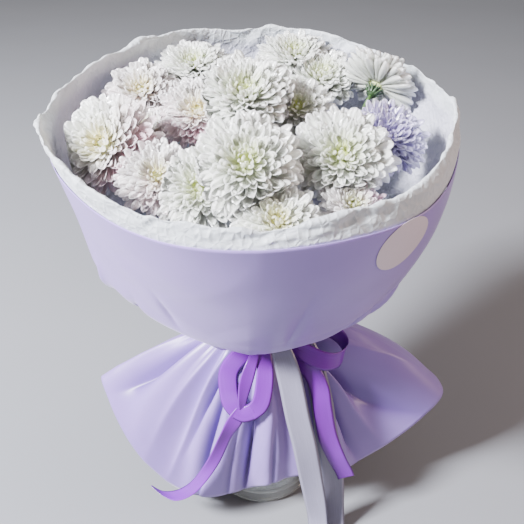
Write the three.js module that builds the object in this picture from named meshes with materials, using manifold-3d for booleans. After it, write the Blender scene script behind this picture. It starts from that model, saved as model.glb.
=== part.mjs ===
// A hand-tied bouquet of spray chrysanthemums in a film and tissue wrap, standing in a glass
// jar of water. Millimetres, +Z up. The origin is the centre of the jar's foot, and the side
// that is looked at faces -Y. Angles called "around" turn about +Z, from +X towards +Y.

import * as THREE from 'three';
import { mergeVertices } from 'three/addons/utils/BufferGeometryUtils.js';
import Module from 'manifold-3d';

const wasm = await Module();
wasm.setup();

// ---------------------------------------------------------------- driving dimensions

const TURN = Math.PI * 2;
const GAP = 0.3; // clearance left between pieces that touch

const JAR = { radius: 64, height: 140, wall: 3, floor: 12, footRadius: 56, sides: 26 };
const WATER_LEVEL = 95;

const STEM = { radius: 3, ring: 14, footRing: 36, foot: 17, bend: 205, waist: 259, sides: 6 };
const PEDICEL = { radius: 1.8, sides: 4, steps: 3 };
const CALYX = { radius: 6, depth: 7, sides: 6 };
const LEAF = {
  length: 62, width: 21, thickness: 1.2, droop: 12,
  lobes: [[0, 0.1], [0.2, 0.5], [0.3, 0.28], [0.5, 1], [0.62, 0.5], [0.78, 0.75]],
};

const FILM = 0.8; // thickness of the wrap's sheets
const NECK = { bottom: 236, top: 252, tissue: 17.8, bowl: 19, skirt: 20.2 };

// The lens-shaped fold under the upper wrap, and the round rim that it opens to.
const FOLD = { x: -19, halfWidth: 143, halfDepth: 85, height: 258, sideLift: 30, corner: 4 / 3 };
const RIM = { x: -10, radius: 172, height: 447, slope: 0.095 };

// Where the wrap departs from that even shape: the middle of each stretch around, how narrow
// it is, and how far the wrap moves there.
const CORNER = { around: 312, power: 3, out: 14, forward: 5, drop: 9 };
const BULGE = { around: 325, power: 2, out: 10 };
const HOLLOW = { around: 212, power: 4, rimInset: 10, lipLean: 12 };
const LOW_LIP = { around: 272, power: 2, drop: 10 };
const PUFF = { around: 14, power: 14, out: 12, up: 34 };
const TISSUE = { inset: 5, foldInset: 7, foldLift: 6, stands: 23, crinkle: 1.6, lip: 0.86 };

// The hem of the lower wrap: angle around, reach from the axis and height of its points.
const HEM = [
  [0, 204, 130], [8, 194, 134], [21, 150, 84], [45, 118, 52], [70, 92, 40], [95, 84, 62],
  [120, 96, 48], [145, 124, 38], [165, 158, 88], [180, 187, 150], [196, 152, 88], [210, 125, 38],
  [228, 100, 30], [250, 87, 50], [270, 80, 60], [298, 90, 76], [326, 111, 64], [342, 146, 82],
  [352, 188, 119],
];
const SKIRT_COLUMNS = 51;
const PLEAT = { depth: 6, lean: 0.7 };

const STICKER = { around: 310, up: 0.83, radius: 25, thickness: 0.6 };

// The ribbons: a band pulled tight round the tie, a knot in front, and strips from the knot.
// Each strip is a list of points on its middle line, each with half its width as a vector.
const RIBBON = { thickness: 0.8, band: 0.9, knot: [14, 8], sides: 20 };
const LILAC_RIBBON = {
  band: [236.8, 242.2], knotX: 4,
  strips: {
    leftLoop: [
      [[1, -25, 239], [-1.2, 0, 2.6]], [[-4, -38, 236], [-5, -1, 5]], [[-20, -47, 226], [-8, 2, 5]],
      [[-33, -51, 208], [-9.6, 2, 2]], [[-34, -61, 192], [-9.8, 0, -1]],
      [[-29, -69, 181], [-6, -2, -5]], [[-22, -73, 177], [-1.5, -2, -3]],
    ],
    returnLoop: [
      [[3, -25, 239], [2.4, 0, 2]], [[2, -44, 230], [6, 2, 2]], [[3, -60, 213], [8.5, 0, 0]],
      [[0, -70, 197], [8, -2, -4]], [[-9, -73, 184], [5, -3, -6]], [[-22, -74, 177], [2, -2, -4]],
    ],
    innerLoop: [
      [[1, -26, 239], [2, 0, 2]], [[-8, -50, 228], [6, 2, 2]], [[-15, -64, 209], [7.5, 2, 1]],
      [[-20, -73, 190], [5, 1.5, 0.5]], [[-22, -74, 177], [2, 0.8, 0.3]],
    ],
    leftTail: [
      [[-22, -73, 178], [3, -1, -1]], [[-29, -78, 164], [9, 0, -4]], [[-38, -81, 145], [9, 0, -3]],
      [[-52, -86, 110], [7, -4, -2]], [[-72, -91, 76], [4, -7, 1]], [[-92, -90, 56], [1.5, -7.5, 3]],
      [[-110, -84, 50], [0.8, -5, 2.4]], [[-124, -76, 53], [0.3, -1.5, 0.8]],
    ],
    rightLoop: [
      [[7, -26, 239], [0, 0, 3]], [[22, -36, 236], [-1, -2, 7]], [[42, -46, 228], [1, -2, 9.5]],
      [[62, -50, 220], [1, -3, 9.5]], [[78, -42, 215], [0, -1, 10]], [[86, -28, 216], [2, 0, 9.5]],
      [[78, -16, 224], [2, 1, 9]], [[56, -14, 234], [1, 0, 8]], [[28, -19, 239], [0, 0, 4]],
      [[9, -25, 239], [0, 0, 3]],
    ],
    rightTail: [
      [[8, -27, 239], [3, 0, 1]], [[28, -42, 224], [5.5, 0, 8]], [[48, -52, 210], [7, 1, 7]],
      [[58, -61, 192], [9, 1, 4]], [[62, -70, 170], [9.5, 2, 2]], [[68, -78, 140], [9.5, 2, 2.5]],
      [[78, -81, 112], [9.2, -1, 4]], [[88, -81, 88], [8.5, -1, 5]], [[92, -81, 76], [8.5, -1, 5]],
    ],
  },
};
const WHITE_RIBBON = {
  band: [242.7, 248.2], knotX: 9,
  strips: {
    leftTail: [
      [[8, -26, 245.5], [3, 0, 1]], [[15, -42, 243], [7, 0, 3]], [[21, -53, 230], [10, 0, 4]],
      [[26, -60, 214], [11.5, 0, 4]], [[30, -66, 197], [12, 0, 3]], [[36, -76, 168], [12.2, 0, 2.5]],
      [[44, -85, 134], [12.2, 0, 2.6]], [[51, -91, 96], [12.2, 0, 2]], [[58, -95, 56], [12, -3, 1.5]],
      [[63, -99, 20], [11, -5, 1]], [[63, -112, 2.2], [11.5, -4, 0]], [[56, -146, 1.3], [12, -3, 0]],
    ],
    rightTail: [
      [[10, -26, 245.5], [0, 1, 2.5]], [[26, -29, 247], [1, 5, 1]], [[40, -31, 234], [6, 4, 3]],
      [[50, -39, 215], [9, 4, 5]], [[57, -49, 193], [10, 5, 5]], [[62, -60, 171], [10.5, 5.5, 4]],
      [[67, -68, 138], [11, 4, 3]], [[73, -74, 106], [11.5, 3, 3]], [[78, -78, 70], [12, 1, 2]],
      [[80, -86, 35], [12, -2, 1]], [[82, -95, 8], [12, -2, 0]], [[86, -108, 1.6], [12, -2, 0]],
      [[98, -138, 1.3], [11.5, 4, 0]],
    ],
  },
};

const COLOUR = {
  glass: '#c9d3cf', water: '#b9c8c4', stem: '#4f7040', tissue: '#dfe4ea', film: '#c9c0e4',
  lilacRibbon: '#a87fd6', whiteRibbon: '#dcdce4', sticker: '#e6dcdc', white: '#f2f2ee',
  blush: '#eeddde', lilac: '#c3b8e0',
};

// The seven sprays: the angle of each stem in the ring at the tie, and where it forks.
const SPRAYS = {
  west: { ring: 186, fork: [-58, -26, 352] },
  northwest: { ring: 126, fork: [-52, 48, 356] },
  north: { ring: 66, fork: [22, 58, 358] },
  east: { ring: 6, fork: [62, 14, 350] },
  southeast: { ring: 306, fork: [36, -52, 350] },
  south: { ring: 246, fork: [-12, -58, 348] },
  middle: { ring: null, fork: [-8, 0, 372] },
};

// The leaves of each spray: place along the upper stem, direction around, and size.
const LEAVES = {
  west: [[0.8, 176, 1.1], [1, 216, 1.1]],
  northwest: [[0.8, 168, 0.85], [1, 134, 1]],
  north: [[0.8, 96, 1], [1, 62, 0.8]],
  east: [[0.8, 10, 1.1], [1, 50, 0.9]],
  southeast: [[0.8, 326, 1.1], [1, 290, 0.85]],
  south: [[0.8, 266, 1.1], [1, 240, 1.1]],
  middle: [[0.9, 70, 0.8], [0.9, 215, 0.8]],
};

// The blooms: angle around and distance out from the rim's centre, height of the heart,
// radius, how far the face leans, and the direction it leans in.
const BLOOMS = [
  { name: 'left', spray: 'west', around: 202, out: 127, top: 454, radius: 37, lean: 42, facing: 245 },
  { name: 'small_left', spray: 'west', around: 172, out: 92,
    top: 443, radius: 23, lean: 20, facing: 227 },
  { name: 'low_left', spray: 'west', around: 230, out: 106, top: 442, radius: 27, lean: 35, facing: 280 },
  { name: 'back_left', spray: 'northwest', around: 150, out: 118,
    top: 462, radius: 32, lean: 32, facing: 262 },
  { name: 'far_left', spray: 'northwest', around: 118, out: 123,
    top: 474, radius: 34, lean: 15, facing: 250 },
  { name: 'far_right', spray: 'north', around: 71, out: 132,
    top: 479, radius: 34, lean: 15, facing: 262 },
  { name: 'back_right', spray: 'north', around: 54, out: 115,
    top: 466, radius: 35, lean: 20, facing: 254 },
  { name: 'turned', spray: 'east', around: 31, out: 145, top: 468, radius: 33, lean: 56, facing: 51 },
  { name: 'lilac', spray: 'east', around: 347, out: 118, top: 452, radius: 30, lean: 38, facing: 285 },
  { name: 'right', spray: 'southeast', around: 310, out: 106,
    top: 461, radius: 35, lean: 40, facing: 262 },
  { name: 'small_right', spray: 'southeast', around: 305, out: 133,
    top: 433, radius: 21, lean: 25, facing: 290 },
  { name: 'front', spray: 'south', around: 269, out: 103, top: 465, radius: 37, lean: 38, facing: 268 },
  { name: 'low_front', spray: 'south', around: 279, out: 134,
    top: 434, radius: 29, lean: 25, facing: 266 },
  { name: 'low_middle', spray: 'south', around: 249, out: 103,
    top: 440, radius: 30, lean: 44, facing: 266 },
  { name: 'inner_left', spray: 'middle', around: 180, out: 45,
    top: 464, radius: 31, lean: 34, facing: 265 },
  { name: 'middle', spray: 'middle', around: 225, out: 6, top: 484, radius: 39, lean: 24, facing: 267 },
  { name: 'inner_right', spray: 'middle', around: 10, out: 41,
    top: 464, radius: 27, lean: 34, facing: 262 },
];
const TINTS = { left: 'white', small_left: 'blush', low_left: 'blush', lilac: 'lilac',
  small_right: 'blush', inner_left: 'blush', back_left: 'blush' };

// A bloom's core is a lattice of diamonds, and a petal grows out of each. The lattice rows and
// the petal rings go from the outside in: distance out and height, in bloom radii.
const CORE_ROWS = [[0.1, 0.02], [0.22, 0.07], [0.27, 0.17], [0.25, 0.28], [0.18, 0.38], [0.09, 0.45]];
const CORE_TOP = 0.5;
const PETAL_RINGS = [
  { belly: [0.62, 0.17], tip: [1.0, 0.0], width: 0.2, rounded: true },
  { belly: [0.54, 0.37], tip: [0.85, 0.35], width: 0.19, rounded: true },
  { belly: [0.42, 0.53], tip: [0.6, 0.62], width: 0.15, rounded: false },
  { belly: [0.24, 0.6], tip: [0.15, 0.72], width: 0.08, rounded: false },
];
const PETALS_ROUND = { large: 8, other: 7, largeFrom: 38 };
const HEART = 0.62; // height of the heart above the bloom's seat, in bloom radii
const PETAL_THICKNESS = 1.1;

// The room of a bloom: it meets neighbours nearer than reach times both radii, measured from
// its middle, and a plane that leans out along the wrap, set in and down from the rim.
const ROOM = { middle: 0.3, reach: 1.15, wallInset: 15, wallDrop: 12, wallLean: 0.35 };

// ---------------------------------------------------------------- small helpers

const radians = (degrees) => (degrees * Math.PI) / 180;
const vec = (x, y, z) => new THREE.Vector3(x, y, z);
const mix = (a, b, t) => a.clone().lerp(b, t);
const mixed = (a, b, t) => a + (b - a) * t;
const polar = (around, reach, height, x = 0) =>
  vec(x + reach * Math.cos(around), reach * Math.sin(around), height);

/** A repeatable source of numbers between -1 and 1. */
function wobbler(seed) {
  let state = seed * 7919 + 17;
  return () => {
    state = (state * 48271) % 2147483647;
    return (2 * state) / 2147483647 - 1;
  };
}

/** A closed geometry from corner points and triangles, turned so that its faces point out. */
function geometryOf(points, triangles) {
  let volume = 0;
  for (const [a, b, c] of triangles) {
    volume += points[a].dot(points[b].clone().cross(points[c]));
  }
  const faces = volume < 0 ? triangles.map(([a, b, c]) => [a, c, b]) : triangles;
  const geometry = new THREE.BufferGeometry();
  geometry.setAttribute('position', new THREE.Float32BufferAttribute(
    points.flatMap((p) => [p.x, p.y, p.z]), 3));
  geometry.setIndex(faces.flat());
  return geometry;
}

/** The solid of a closed geometry, ready to be joined or cut. */
function solidOf(geometry) {
  const bare = geometry.clone();
  bare.deleteAttribute('normal');
  bare.deleteAttribute('uv');
  const merged = mergeVertices(bare, 1e-4);
  return new wasm.Manifold(new wasm.Mesh({
    numProp: 3,
    vertProperties: new Float32Array(merged.attributes.position.array),
    triVerts: new Uint32Array(merged.index.array),
  }));
}

/** The geometry of a solid. */
function geometryFrom(solid) {
  const mesh = solid.getMesh();
  const geometry = new THREE.BufferGeometry();
  geometry.setAttribute('position', new THREE.Float32BufferAttribute(mesh.vertProperties, 3));
  geometry.setIndex(Array.from(mesh.triVerts));
  return geometry;
}

/** Joins geometries into one body: sealed hollows are filled and loose scraps dropped. */
function joined(geometries) {
  const whole = geometries.map(solidOf).reduce((sum, solid) => sum.add(solid));
  const bodies = whole.decompose();
  return bodies.reduce((largest, body) => (body.volume() > largest.volume() ? body : largest));
}

/** A closed body through a list of rings of corners, with a flat end at each end. */
function loft(rings) {
  const sides = rings[0].length;
  const points = rings.flat();
  const triangles = [];
  for (let row = 0; row + 1 < rings.length; row += 1) {
    for (let side = 0; side < sides; side += 1) {
      const a = row * sides + side;
      const b = row * sides + ((side + 1) % sides);
      triangles.push([a, b, b + sides], [a, b + sides, a + sides]);
    }
  }
  const last = (rings.length - 1) * sides;
  for (let side = 1; side + 1 < sides; side += 1) {
    triangles.push([0, side + 1, side], [last, last + side, last + side + 1]);
  }
  return geometryOf(points, triangles);
}

/** A round rod along a list of points, with a radius at each. */
function rod(points, radii, sides) {
  let across = vec(0, 1, 0);
  const rings = points.map((point, i) => {
    const ahead = points[Math.min(i + 1, points.length - 1)];
    const behind = points[Math.max(i - 1, 0)];
    const along = ahead.clone().sub(behind).normalize();
    across = across.sub(along.clone().multiplyScalar(across.dot(along))).normalize();
    const other = along.clone().cross(across);
    return Array.from({ length: sides }, (_, side) => {
      const angle = (side / sides) * TURN;
      return point.clone()
        .addScaledVector(across, radii[i] * Math.cos(angle))
        .addScaledVector(other, radii[i] * Math.sin(angle));
    });
  });
  return loft(rings);
}

/** The four corners of a blade's section: one edge, the top, the other edge, the underside. */
const bladeCorners = ({ centre, side, up, cup }) => [
  centre.clone().add(side).add(cup), centre.clone().add(up),
  centre.clone().sub(side).add(cup), centre.clone().sub(up),
];

/** The faces from one section to the next, split alike on both faces; a point ends them. */
function bladeSpan(from, to) {
  const triangles = [];
  for (let k = 0; k < 4; k += 1) {
    const next = (k + 1) % 4;
    if (to.length === 1) triangles.push([from[k], from[next], to[0]]);
    else if (k % 2) triangles.push([from[k], from[next], to[k]], [from[next], to[next], to[k]]);
    else triangles.push([from[k], from[next], to[next]], [from[k], to[next], to[k]]);
  }
  return triangles;
}

/** A thin blade through sections, closed at its root and pointed at its tip. */
function blade(sections, tip) {
  const points = [...sections.flatMap(bladeCorners), tip];
  const corners = (row) => [0, 1, 2, 3].map((k) => row * 4 + k);
  const triangles = [[0, 2, 1], [0, 3, 2]];
  sections.forEach((_, row) => {
    const to = row + 1 < sections.length ? corners(row + 1) : [points.length - 1];
    triangles.push(...bladeSpan(corners(row), to));
  });
  return geometryOf(points, triangles);
}

/** A thin closed skin of even thickness on surface(u, s), with u going once round. */
function skin(surface, around, rows, thickness) {
  const step = 1e-3;
  const normal = (u, s) => {
    const [low, high] = [Math.max(s - step, 0), Math.min(s + step, 1)];
    const turned = surface(u + step, s).sub(surface(u - step, s));
    return turned.cross(surface(u, high).sub(surface(u, low))).normalize();
  };
  const points = [];
  for (const face of [0.5, -0.5]) {
    for (const s of rows) {
      for (let i = 0; i < around; i += 1) {
        const u = i / around;
        points.push(surface(u, s).addScaledVector(normal(u, s), face * thickness));
      }
    }
  }
  const inner = rows.length * around;
  const triangles = [];
  const quad = (a, b, c, d) => triangles.push([a, b, c], [a, c, d]);
  for (let i = 0; i < around; i += 1) {
    const j = (i + 1) % around;
    for (let row = 0; row + 1 < rows.length; row += 1) {
      const [low, high] = [row * around, (row + 1) * around];
      quad(low + i, low + j, high + j, high + i);
      triangles.push([inner + low + i, inner + high + j, inner + low + j]);
      triangles.push([inner + low + i, inner + high + i, inner + high + j]);
    }
    const top = (rows.length - 1) * around;
    quad(top + i, top + j, inner + top + j, inner + top + i);
    quad(j, i, inner + i, inner + j);
  }
  return geometryOf(points, triangles);
}

/** A flat strip of ribbon through points that each have half the width as a vector. */
function strip(stations, thickness) {
  const points = stations.flatMap(([at, across], i) => {
    const ahead = vec(...stations[Math.min(i + 1, stations.length - 1)][0]);
    const behind = vec(...stations[Math.max(i - 1, 0)][0]);
    const point = vec(...at);
    const half = vec(...across);
    const up = ahead.sub(behind).cross(half).normalize().multiplyScalar(thickness / 2);
    return [
      point.clone().add(half).add(up), point.clone().sub(half).add(up),
      point.clone().sub(half).sub(up), point.clone().add(half).sub(up),
    ];
  });
  const last = points.length - 4;
  const triangles = [[0, 2, 1], [0, 3, 2], [last, last + 1, last + 2], [last, last + 2, last + 3]];
  for (let from = 0; from < last; from += 4) {
    const to = from + 4;
    triangles.push([from, from + 1, to + 1], [from, to + 1, to]);
    triangles.push([from + 3, to + 2, from + 2], [from + 3, to + 3, to + 2]);
    triangles.push([from + 1, from + 2, to + 2], [from + 1, to + 2, to + 1]);
    triangles.push([from + 3, from, to], [from + 3, to, to + 3]);
  }
  return geometryOf(points, triangles);
}

// ---------------------------------------------------------------- jar and water

/** The jar: a straight glass cylinder with a thick floor and a rounded foot and lip. */
function jarGeometry() {
  const { radius, height, wall, floor, footRadius, sides } = JAR;
  const inside = radius - wall;
  const outline = [
    [0, 0], [footRadius, 0], [footRadius + 5, 2], [radius, 8], [radius, height - 2],
    [radius - 0.9, height], [inside + 0.9, height], [inside, height - 2],
    [inside, floor + 9], [inside - 3, floor + 2.5], [inside - 10, floor], [0, floor],
  ];
  return new THREE.LatheGeometry(outline.map(([x, y]) => new THREE.Vector2(x, y)), sides)
    .rotateX(Math.PI / 2);
}

/** The water: it fills the jar to its level, with a plain hole round each stem. */
function waterGeometry() {
  const { wall, floor, sides } = JAR;
  const inside = JAR.radius - wall - GAP;
  const bed = floor + GAP;
  const outline = [
    [0, bed], [inside - 10, bed], [inside - 3, bed + 2.5], [inside, bed + 9],
    [inside, WATER_LEVEL], [0, WATER_LEVEL],
  ];
  const filled = new THREE.LatheGeometry(outline.map(([x, y]) => new THREE.Vector2(x, y)), sides)
    .rotateX(Math.PI / 2);
  let water = solidOf(filled);
  for (const spray of Object.values(SPRAYS)) {
    const [foot, bend] = stemPoints(spray);
    const along = bend.clone().sub(foot).normalize();
    const hole = [foot.clone().addScaledVector(along, -GAP), bend];
    const radius = STEM.radius + GAP / Math.cos(Math.PI / STEM.sides);
    water = water.subtract(solidOf(rod(hole, [radius, radius], STEM.sides)));
  }
  return geometryFrom(water);
}

// ---------------------------------------------------------------- blooms

/** The seat, axis and sideways directions of a bloom. */
function bloomPlace(bloom) {
  const facing = radians(bloom.facing);
  const lean = radians(bloom.lean);
  const axis = vec(Math.cos(facing) * Math.sin(lean), Math.sin(facing) * Math.sin(lean),
    Math.cos(lean));
  const heart = polar(radians(bloom.around), bloom.out, bloom.top, RIM.x);
  const seat = heart.clone().addScaledVector(axis, -HEART * bloom.radius);
  const across = vec(-Math.sin(facing), Math.cos(facing), 0);
  return { axis, heart, seat, across, outward: across.clone().cross(axis) };
}

/** The planes that part a bloom from its neighbours and from the wrap: { normal, limit }. */
function bloomLimits(bloom) {
  const own = bloomPlace(bloom);
  const middle = own.seat.clone().addScaledVector(own.axis, ROOM.middle * bloom.radius);
  const limits = [];
  for (const other of BLOOMS) {
    if (other === bloom) continue;
    const place = bloomPlace(other);
    const away = place.seat.clone().addScaledVector(place.axis, ROOM.middle * other.radius)
      .sub(middle);
    const distance = away.length();
    if (distance > ROOM.reach * (bloom.radius + other.radius)) continue;
    const normal = away.normalize();
    const share = (distance * bloom.radius) / (bloom.radius + other.radius);
    limits.push({ normal, limit: normal.dot(middle) + share - GAP });
  }
  const around = radians(bloom.around);
  const outward = vec(Math.cos(around), Math.sin(around), -ROOM.wallLean).normalize();
  const wall = polar(around, RIM.radius - ROOM.wallInset,
    RIM.height - ROOM.wallDrop + RIM.slope * own.heart.y, RIM.x);
  limits.push({ normal: outward, limit: outward.dot(wall) });
  return limits;
}

const inside = (point, limits) => limits.every(({ normal, limit }) => normal.dot(point) < limit);

/** The corners of one petal and its tip, grown from its root by a share of its full length. */
function petalCorners(place, radius, ring, root, turned, grown) {
  const out = place.across.clone().multiplyScalar(Math.cos(turned))
    .addScaledVector(place.outward, Math.sin(turned));
  const side = out.clone().cross(place.axis);
  const at = ([reach, height]) => place.seat.clone()
    .addScaledVector(out, mixed(root[0], reach, grown) * radius)
    .addScaledVector(place.axis, mixed(root[1], height, grown) * radius);
  const { belly, tip, width } = ring;
  const shoulder = [mixed(belly[0], tip[0], 0.7), mixed(belly[1], tip[1], 0.5)];
  const stations = ring.rounded ? [[belly, 1], [shoulder, 0.9]] : [[belly, 1]];
  const up = side.clone().cross(at(tip).sub(at(root))).normalize();
  const half = width * radius * mixed(0.5, 1, grown);
  const sections = stations.map(([spot, share]) => bladeCorners({
    centre: at(spot),
    side: side.clone().multiplyScalar(share * half),
    up: up.clone().multiplyScalar(PETAL_THICKNESS / 2),
    cup: up.clone().multiplyScalar(0.03 * radius),
  }));
  return [...sections, [at(tip)]];
}

/** A petal as long as it can grow before it meets a neighbour or the wrap. */
function petalSections(place, radius, ring, root, turned, size, limits) {
  let grown = size;
  let sections = petalCorners(place, radius, ring, root, turned, grown);
  while (grown > 0.3 && !sections.flat().every((point) => inside(point, limits))) {
    grown -= 0.04;
    sections = petalCorners(place, radius, ring, root, turned, grown);
  }
  return sections;
}

/** A bloom as one body: a lattice core with a petal grown out of each of its diamonds. */
function bloomGeometry(bloom, seed) {
  const { radius } = bloom;
  const place = bloomPlace(bloom);
  const limits = bloomLimits(bloom);
  const next = wobbler(seed);
  const count = radius < PETALS_ROUND.largeFrom ? PETALS_ROUND.other : PETALS_ROUND.large;
  const points = [];
  const add = (point) => points.push(point) - 1;
  const spot = (turned, reach, height) => place.seat.clone()
    .addScaledVector(place.across, reach * radius * Math.cos(turned))
    .addScaledVector(place.outward, reach * radius * Math.sin(turned))
    .addScaledVector(place.axis, height * radius);
  const angleOf = (row, i) => ((i + 0.5 * (row % 2)) / count) * TURN;
  const lattice = CORE_ROWS.map(([reach, height], row) =>
    Array.from({ length: count }, (_, i) => add(spot(angleOf(row, i), reach, height))));
  const at = (row, i) => lattice[row][(i + count) % count];
  const last = CORE_ROWS.length - 1;
  const [under, over] = [add(spot(0, 0, CORE_ROWS[0][1])), add(spot(0, 0, CORE_TOP))];
  const triangles = [];
  for (let i = 0; i < count; i += 1) {
    const shift = 1 - (last % 2);
    triangles.push([under, at(0, i + 1), at(0, i)], [at(0, i), at(0, i + 1), at(1, i)]);
    triangles.push([over, at(last, i), at(last, i + 1)]);
    triangles.push([at(last, i), at(last - 1, i + 1 - shift), at(last, i + 1)]);
  }
  PETAL_RINGS.forEach((ring, level) => {
    const odd = (level + 1) % 2; // the row of this ring's left and right corners is odd
    for (let i = 0; i < count; i += 1) {
      const corners = [at(level + 1, i + 1), at(level + 2, i + odd), at(level + 1, i),
        at(level, i + odd)];
      const turned = angleOf(level + 1, i + 0.5) + 0.05 * next();
      const size = 1 + 0.05 * next();
      const root = CORE_ROWS[level + 1];
      const sections = petalSections(place, radius, ring, root, turned, size, limits);
      const rings = [corners, ...sections.map((section) => section.map(add))];
      for (let row = 0; row + 1 < rings.length; row += 1) {
        triangles.push(...bladeSpan(rings[row], rings[row + 1]));
      }
    }
  });
  return geometryOf(points, triangles);
}

// ---------------------------------------------------------------- sprays

/** The foot of a stem, its bend over the jar's mouth, and its place in the tie. */
function stemPoints({ ring }) {
  if (ring === null) return [vec(0, 0, STEM.foot), vec(0, 0, STEM.bend), vec(0, 0, STEM.waist)];
  const around = radians(ring);
  return [
    polar(around, STEM.footRing, STEM.foot), polar(around, STEM.ring, STEM.bend),
    polar(around, STEM.ring, STEM.waist),
  ];
}

/** A lobed leaf that grows from point in direction out and droops a little. */
function leafGeometry(point, out, size) {
  const side = vec(-out.y, out.x, 0).normalize();
  const along = (t) => point.clone().addScaledVector(out, t * LEAF.length * size)
    .addScaledVector(vec(0, 0, 1), -LEAF.droop * size * t * t);
  const sections = LEAF.lobes.map(([t, width]) => ({
    centre: along(t),
    side: side.clone().multiplyScalar(width * LEAF.width * size),
    up: vec(0, 0, LEAF.thickness / 2),
    cup: vec(0, 0, 0.12 * width * LEAF.width * size),
  }));
  return blade(sections, along(1));
}

/** A spray: stem, pedicels, the calyx under each bloom, and leaves, as one body. */
function sprayGeometry(name) {
  const spray = SPRAYS[name];
  const [foot, bend, waist] = stemPoints(spray);
  const fork = vec(...spray.fork);
  const rise = vec(0, 0, 1);
  const upper = new THREE.QuadraticBezierCurve3(
    waist, waist.clone().addScaledVector(rise, 38), fork);
  const line = [foot, bend, ...upper.getPoints(3)];
  const radii = line.map((_, i) => (i < 4 ? STEM.radius : STEM.radius - 0.25 * (i - 3)));
  const parts = [rod(line, radii, STEM.sides)];
  const tangent = upper.getTangent(1);
  for (const bloom of BLOOMS.filter((entry) => entry.spray === name)) {
    const place = bloomPlace(bloom);
    const collar = place.seat.clone().addScaledVector(place.axis, -CALYX.depth);
    const arm = collar.distanceTo(fork) * 0.4;
    const branch = new THREE.CubicBezierCurve3(
      fork.clone().addScaledVector(tangent, -3), fork.clone().addScaledVector(tangent, arm * 0.7),
      collar.clone().addScaledVector(place.axis, -arm), collar);
    const steps = branch.getPoints(PEDICEL.steps);
    const tip = collar.clone().addScaledVector(place.axis, 2);
    parts.push(rod([...steps, tip], Array(PEDICEL.steps + 2).fill(PEDICEL.radius), PEDICEL.sides));
    const brim = place.seat.clone().addScaledVector(place.axis, 0.02 * bloom.radius - GAP);
    const swell = collar.clone().addScaledVector(place.axis, 3);
    parts.push(rod([collar, swell, brim], [2.2, CALYX.radius * 0.75, CALYX.radius], CALYX.sides));
  }
  for (const [t, turned, size] of LEAVES[name]) {
    const spot = upper.getPoint(t);
    const around = radians(turned);
    parts.push(leafGeometry(spot, vec(Math.cos(around), Math.sin(around), 0.35).normalize(), size));
  }
  return geometryFrom(joined(parts));
}

// ---------------------------------------------------------------- wrap

const signedPower = (value, power) => Math.sign(value) * Math.abs(value) ** power;

/** How much of a local change is felt at an angle: one in its middle, none a quarter turn off. */
const share = ({ around, power }, angle) => Math.max(0, Math.cos(angle - radians(around))) ** power;

/** A round bend: from a point before the corner to one after it. */
function bent(before, corner, after, t) {
  return mix(mix(before, corner, t), mix(corner, after, t), t);
}

/** The corners of the upper wrap's section at one angle, set in and lifted for the tissue. */
function bowlCorners(angle, neck, neckTop, foldInset, foldLift, rimInset) {
  const corner = share(CORNER, angle);
  const fold = vec(
    FOLD.x + (FOLD.halfWidth - foldInset) * signedPower(Math.cos(angle), FOLD.corner)
      + CORNER.out * corner,
    (FOLD.halfDepth - foldInset) * signedPower(Math.sin(angle), FOLD.corner)
      - CORNER.forward * corner,
    FOLD.height + FOLD.sideLift * Math.cos(angle) ** 2 + foldLift - CORNER.drop * corner);
  const reach = RIM.radius - rimInset - HOLLOW.rimInset * share(HOLLOW, angle);
  const rim = polar(angle, reach, 0, RIM.x);
  rim.z = RIM.height + RIM.slope * rim.y + 2.2 * Math.cos(5 * angle + 0.7);
  const start = mix(fold, polar(angle, neck, neckTop), 0.35);
  const end = mix(fold, rim, 0.2);
  const bulge = polar(angle, BULGE.out * share(BULGE, angle), 0);
  return { base: polar(angle, neck, NECK.bottom), neck: polar(angle, neck, neckTop),
    start, fold, end, rim, bulge };
}

/** A point of a wrap's section: up the neck, out, round the fold and up the wall. */
function sectionPoint({ base, neck, start, fold, end, rim, bulge }, s) {
  if (s < 0.1) return mix(base, neck, s / 0.1);
  if (s < 0.35) return mix(neck, start, (s - 0.1) / 0.25);
  if (s < 0.6) return bent(start, fold, end, (s - 0.35) / 0.25);
  const t = (s - 0.6) / 0.4;
  return mix(end, rim, t).addScaledVector(bulge, 4 * t * (1 - t));
}

const BOWL_ROWS = [0, 0.1, 0.35, 0.43, 0.52, 0.6, 0.8, 1];

/** The upper wrap of film, folded up into a bowl. */
function bowlPoint(u, s) {
  return sectionPoint(bowlCorners(u * TURN, NECK.bowl, NECK.top, 0, 0, 0), s);
}

/** The tissue lining, which follows the bowl inside and stands crinkled above its rim. */
function tissuePoint(u, s) {
  const angle = u * TURN;
  const corners = bowlCorners(angle, NECK.tissue, NECK.top + 4, TISSUE.foldInset,
    TISSUE.foldLift, TISSUE.inset);
  const point = sectionPoint(corners, Math.min(s / TISSUE.lip, 1));
  const past = Math.max(0, (s - TISSUE.lip) / (1 - TISSUE.lip));
  const loose = Math.max(0, (s - 0.55) / 0.45);
  const stands = TISSUE.stands - LOW_LIP.drop * share(LOW_LIP, angle)
    + 2.5 * Math.cos(3 * angle + 1) + 2 * Math.cos(11 * angle);
  const crinkle = TISSUE.crinkle * loose * (Math.cos(9 * angle + 1) + Math.cos(13 * angle));
  point.z += past * stands;
  const lean = HOLLOW.lipLean * share(HOLLOW, angle) - 3;
  return point.add(polar(angle, crinkle + lean * past, 0));
}

const TISSUE_ROWS = [...BOWL_ROWS.filter((s) => s !== 0.8).map((s) => s * TISSUE.lip), 1];

/** The hem: a closed Catmull-Rom curve through its points. */
const hemCurve = new THREE.CatmullRomCurve3(
  HEM.map(([around, reach, height]) => polar(radians(around), reach, height)),
  true, 'catmullrom', 0.5);

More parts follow.
